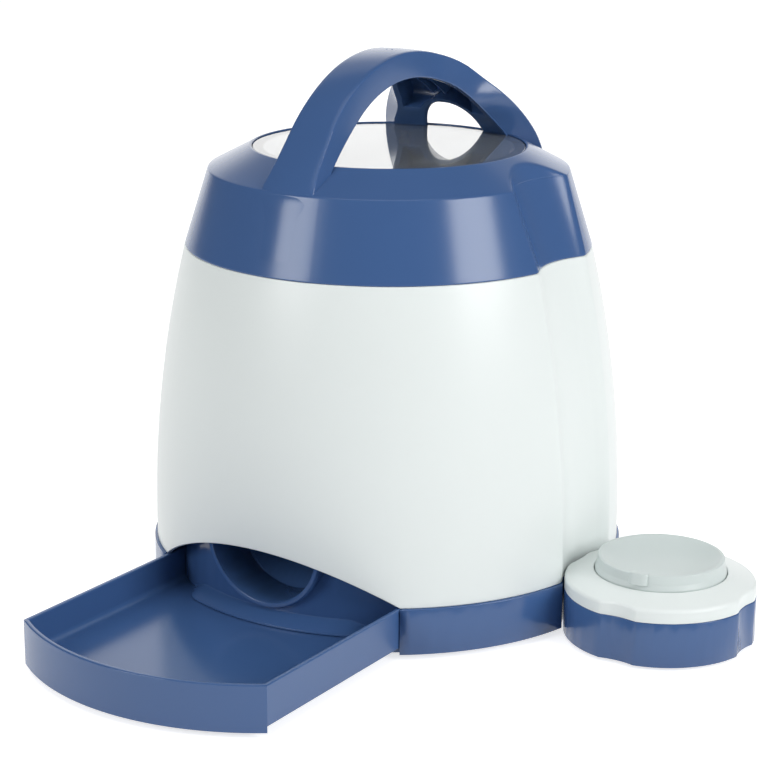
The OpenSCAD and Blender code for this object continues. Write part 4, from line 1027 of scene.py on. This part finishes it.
class FEEDER_OT_stage(bpy.types.Operator):
    """Sets the floor, the lamps, the pale surroundings and the camera"""
    bl_idname = "feeder.stage"
    bl_label = "Stage"

    # Degrees from straight ahead towards the remote, and distance, height and width in metres
    LAMPS = {
        "key": (84, 1.2, 0.6, 0.6),
        "fill": (-22, 1.3, 0.6, 0.5),
        "top": (20, 0.3, 1.5, 1.2),
        "back": (213, 1.6, 0.65, 2.0),
    }
    # How nearly a direction has to agree with the camera's for gloss to show the backdrop there
    BACKDROP_FROM, BACKDROP_TO = 0.8, 0.95

    def execute(self, context):
        sizes = context.scene.feeder_stage
        scene = context.scene
        scene.view_settings.view_transform = "Standard"
        self.floor(scene, sizes)
        self.surroundings(scene, sizes)
        self.lamps(scene, sizes)
        self.camera(scene, sizes)
        return {"FINISHED"}

    def floor(self, scene, sizes):
        bm = bmesh.new()
        bmesh.ops.create_grid(bm, x_segments=8, y_segments=8, size=6)
        mesh = bpy.data.meshes.new("floor")
        bm.to_mesh(mesh)
        bm.free()
        floor = bpy.data.objects.new("floor", mesh)
        scene.collection.objects.link(floor)
        material = bpy.data.materials.new("pale_floor")
        material.use_nodes = True
        tree = material.node_tree
        tree.nodes.clear()
        path = add_node(tree, "LightPath")
        paint = add_node(tree, "BsdfDiffuse", {"Color": (*[sizes.floor] * 3, 1)})
        glow = add_node(tree, "Emission")
        seen = add_node(tree, "Math", operation="MAXIMUM")
        through = add_node(tree, "Math", operation="MAXIMUM")
        lift = add_node(tree, "Math", {1: sizes.glow}, operation="MULTIPLY")
        both = add_node(tree, "AddShader")
        out = add_node(tree, "OutputMaterial")
        wire(
            tree, (path, "Is Camera Ray", seen, 0), (path, "Is Glossy Ray", seen, 1), (seen, 0, through, 0),
            (path, "Is Transmission Ray", through, 1), (through, 0, lift, 0), (lift, 0, glow, "Strength"),
            (paint, 0, both, 0), (glow, 0, both, 1), (both, 0, out, "Surface"),
        )
        mesh.materials.append(material)

    def surroundings(self, scene, sizes):
        world = bpy.data.worlds.new("pale_studio")
        scene.world = world
        world.use_nodes = True
        tree = world.node_tree
        tree.nodes.clear()
        path, place = add_node(tree, "LightPath"), add_node(tree, "TexCoord")
        shine = add_node(tree, "Math", operation="MAXIMUM")
        forward = (-math.sin(sizes.camera_turn), math.cos(sizes.camera_turn), 0)
        ahead = add_node(tree, "VectorMath", {1: forward}, operation="DOT_PRODUCT")
        limits = {"From Min": self.BACKDROP_FROM, "From Max": self.BACKDROP_TO}
        behind = add_node(tree, "MapRange", limits, interpolation_type="SMOOTHSTEP")
        share = add_node(tree, "Math", operation="MULTIPLY")
        seen = add_node(tree, "Math", operation="MAXIMUM")
        level = add_node(tree, "Mix", {"A": sizes.sky, "B": sizes.shine}, data_type="FLOAT")
        light = add_node(tree, "Background", {"Color": (1, 1, 1, 1)})
        backdrop = add_node(tree, "Background", {"Color": (1, 1, 1, 1), "Strength": 1})
        choose = add_node(tree, "MixShader")
        out = add_node(tree, "OutputWorld")
        wire(
            tree, (place, "Generated", ahead, 0), (ahead, "Value", behind, "Value"),
            (path, "Is Glossy Ray", shine, 0), (path, "Is Transmission Ray", shine, 1), (shine, 0, share, 0),
            (shine, 0, level, "Factor"), (level, "Result", light, "Strength"), (behind, "Result", share, 1),
            (path, "Is Camera Ray", seen, 0), (share, 0, seen, 1), (seen, 0, choose, "Fac"),
            (light, 0, choose, 1), (backdrop, 0, choose, 2), (choose, 0, out, "Surface"),
        )

    def lamps(self, scene, sizes):
        aim = FEEDER + Vector((0, 0, Z_JOINT / 2))
        for name, (degrees, away, height, across) in self.LAMPS.items():
            turn_by = math.radians(degrees)
            lamp = bpy.data.lights.new(name, "AREA")
            lamp.energy = getattr(sizes, name)
            lamp.shape = "RECTANGLE"
            lamp.size = across
            lamp.size_y = across
            place = bpy.data.objects.new(name, lamp)
            scene.collection.objects.link(place)
            place.location = FEEDER + Vector((away * math.sin(turn_by), -away * math.cos(turn_by), height))
            place.rotation_euler = (aim - place.location).to_track_quat("-Z", "Y").to_euler()

    def camera(self, scene, sizes):
        turn_by, tilt, pan, roll = sizes.camera_turn, sizes.camera_tilt, sizes.camera_pan, sizes.camera_roll
        ahead = turn_by - pan
        level = Vector((-math.sin(ahead), math.cos(ahead), 0))
        forward = level * math.cos(tilt) - Vector((0, 0, math.sin(tilt)))
        right = Vector((math.cos(ahead), math.sin(ahead), 0))
        up = right.cross(forward)
        rolled = right * math.cos(roll) + up * math.sin(roll)
        up = up * math.cos(roll) - right * math.sin(roll)
        lens = bpy.data.cameras.new("camera")
        lens.lens = sizes.lens
        lens.sensor_width = 36
        camera = bpy.data.objects.new("camera", lens)
        scene.collection.objects.link(camera)
        spot = Vector((math.sin(turn_by), -math.cos(turn_by), 0)) * sizes.camera_away
        place = Matrix((rolled, up, -forward)).transposed().to_4x4()
        place.translation = FEEDER + spot + Vector((0, 0, sizes.camera_h))
        camera.matrix_world = place
        scene.camera = camera


STEPS = (FEEDER_OT_frame_finish, FEEDER_OT_body_shell, FEEDER_OT_lid, FEEDER_OT_handle, FEEDER_OT_tray,
         FEEDER_OT_window, FEEDER_OT_outlet, FEEDER_OT_remote, FEEDER_OT_stage)


class VIEW3D_PT_feeder(bpy.types.Panel):
    """Lists the feeder's pieces and sizes"""
    bl_label = "Feeder"
    bl_space_type = "VIEW_3D"
    bl_region_type = "UI"
    bl_category = "Feeder"

    def draw(self, context):
        for step in STEPS:
            self.layout.operator(step.bl_idname)
        for group in GROUPS:
            for name in GROUPS[group].__annotations__:
                self.layout.prop(getattr(context.scene, group), name)


GROUPS = {
    "feeder_sizes": FeederSizes, "feeder_handle": HandleSizes, "feeder_tray": TraySizes,
    "feeder_remote": RemoteSizes, "feeder_colours": FinishColours, "feeder_stage": StageSizes,
}


def register():
    for group in GROUPS:
        bpy.utils.register_class(GROUPS[group])
        setattr(bpy.types.Scene, group, PointerProperty(type=GROUPS[group]))
    for made in (*STEPS, VIEW3D_PT_feeder):
        bpy.utils.register_class(made)


def unregister():
    for made in (VIEW3D_PT_feeder, *reversed(STEPS)):
        bpy.utils.unregister_class(made)
    for group in GROUPS:
        delattr(bpy.types.Scene, group)
        bpy.utils.unregister_class(GROUPS[group])


def main():
    register()
    for step in STEPS:
        family, name = step.bl_idname.split(".")
        getattr(getattr(bpy.ops, family), name)()


if __name__ == "__main__":
    main()
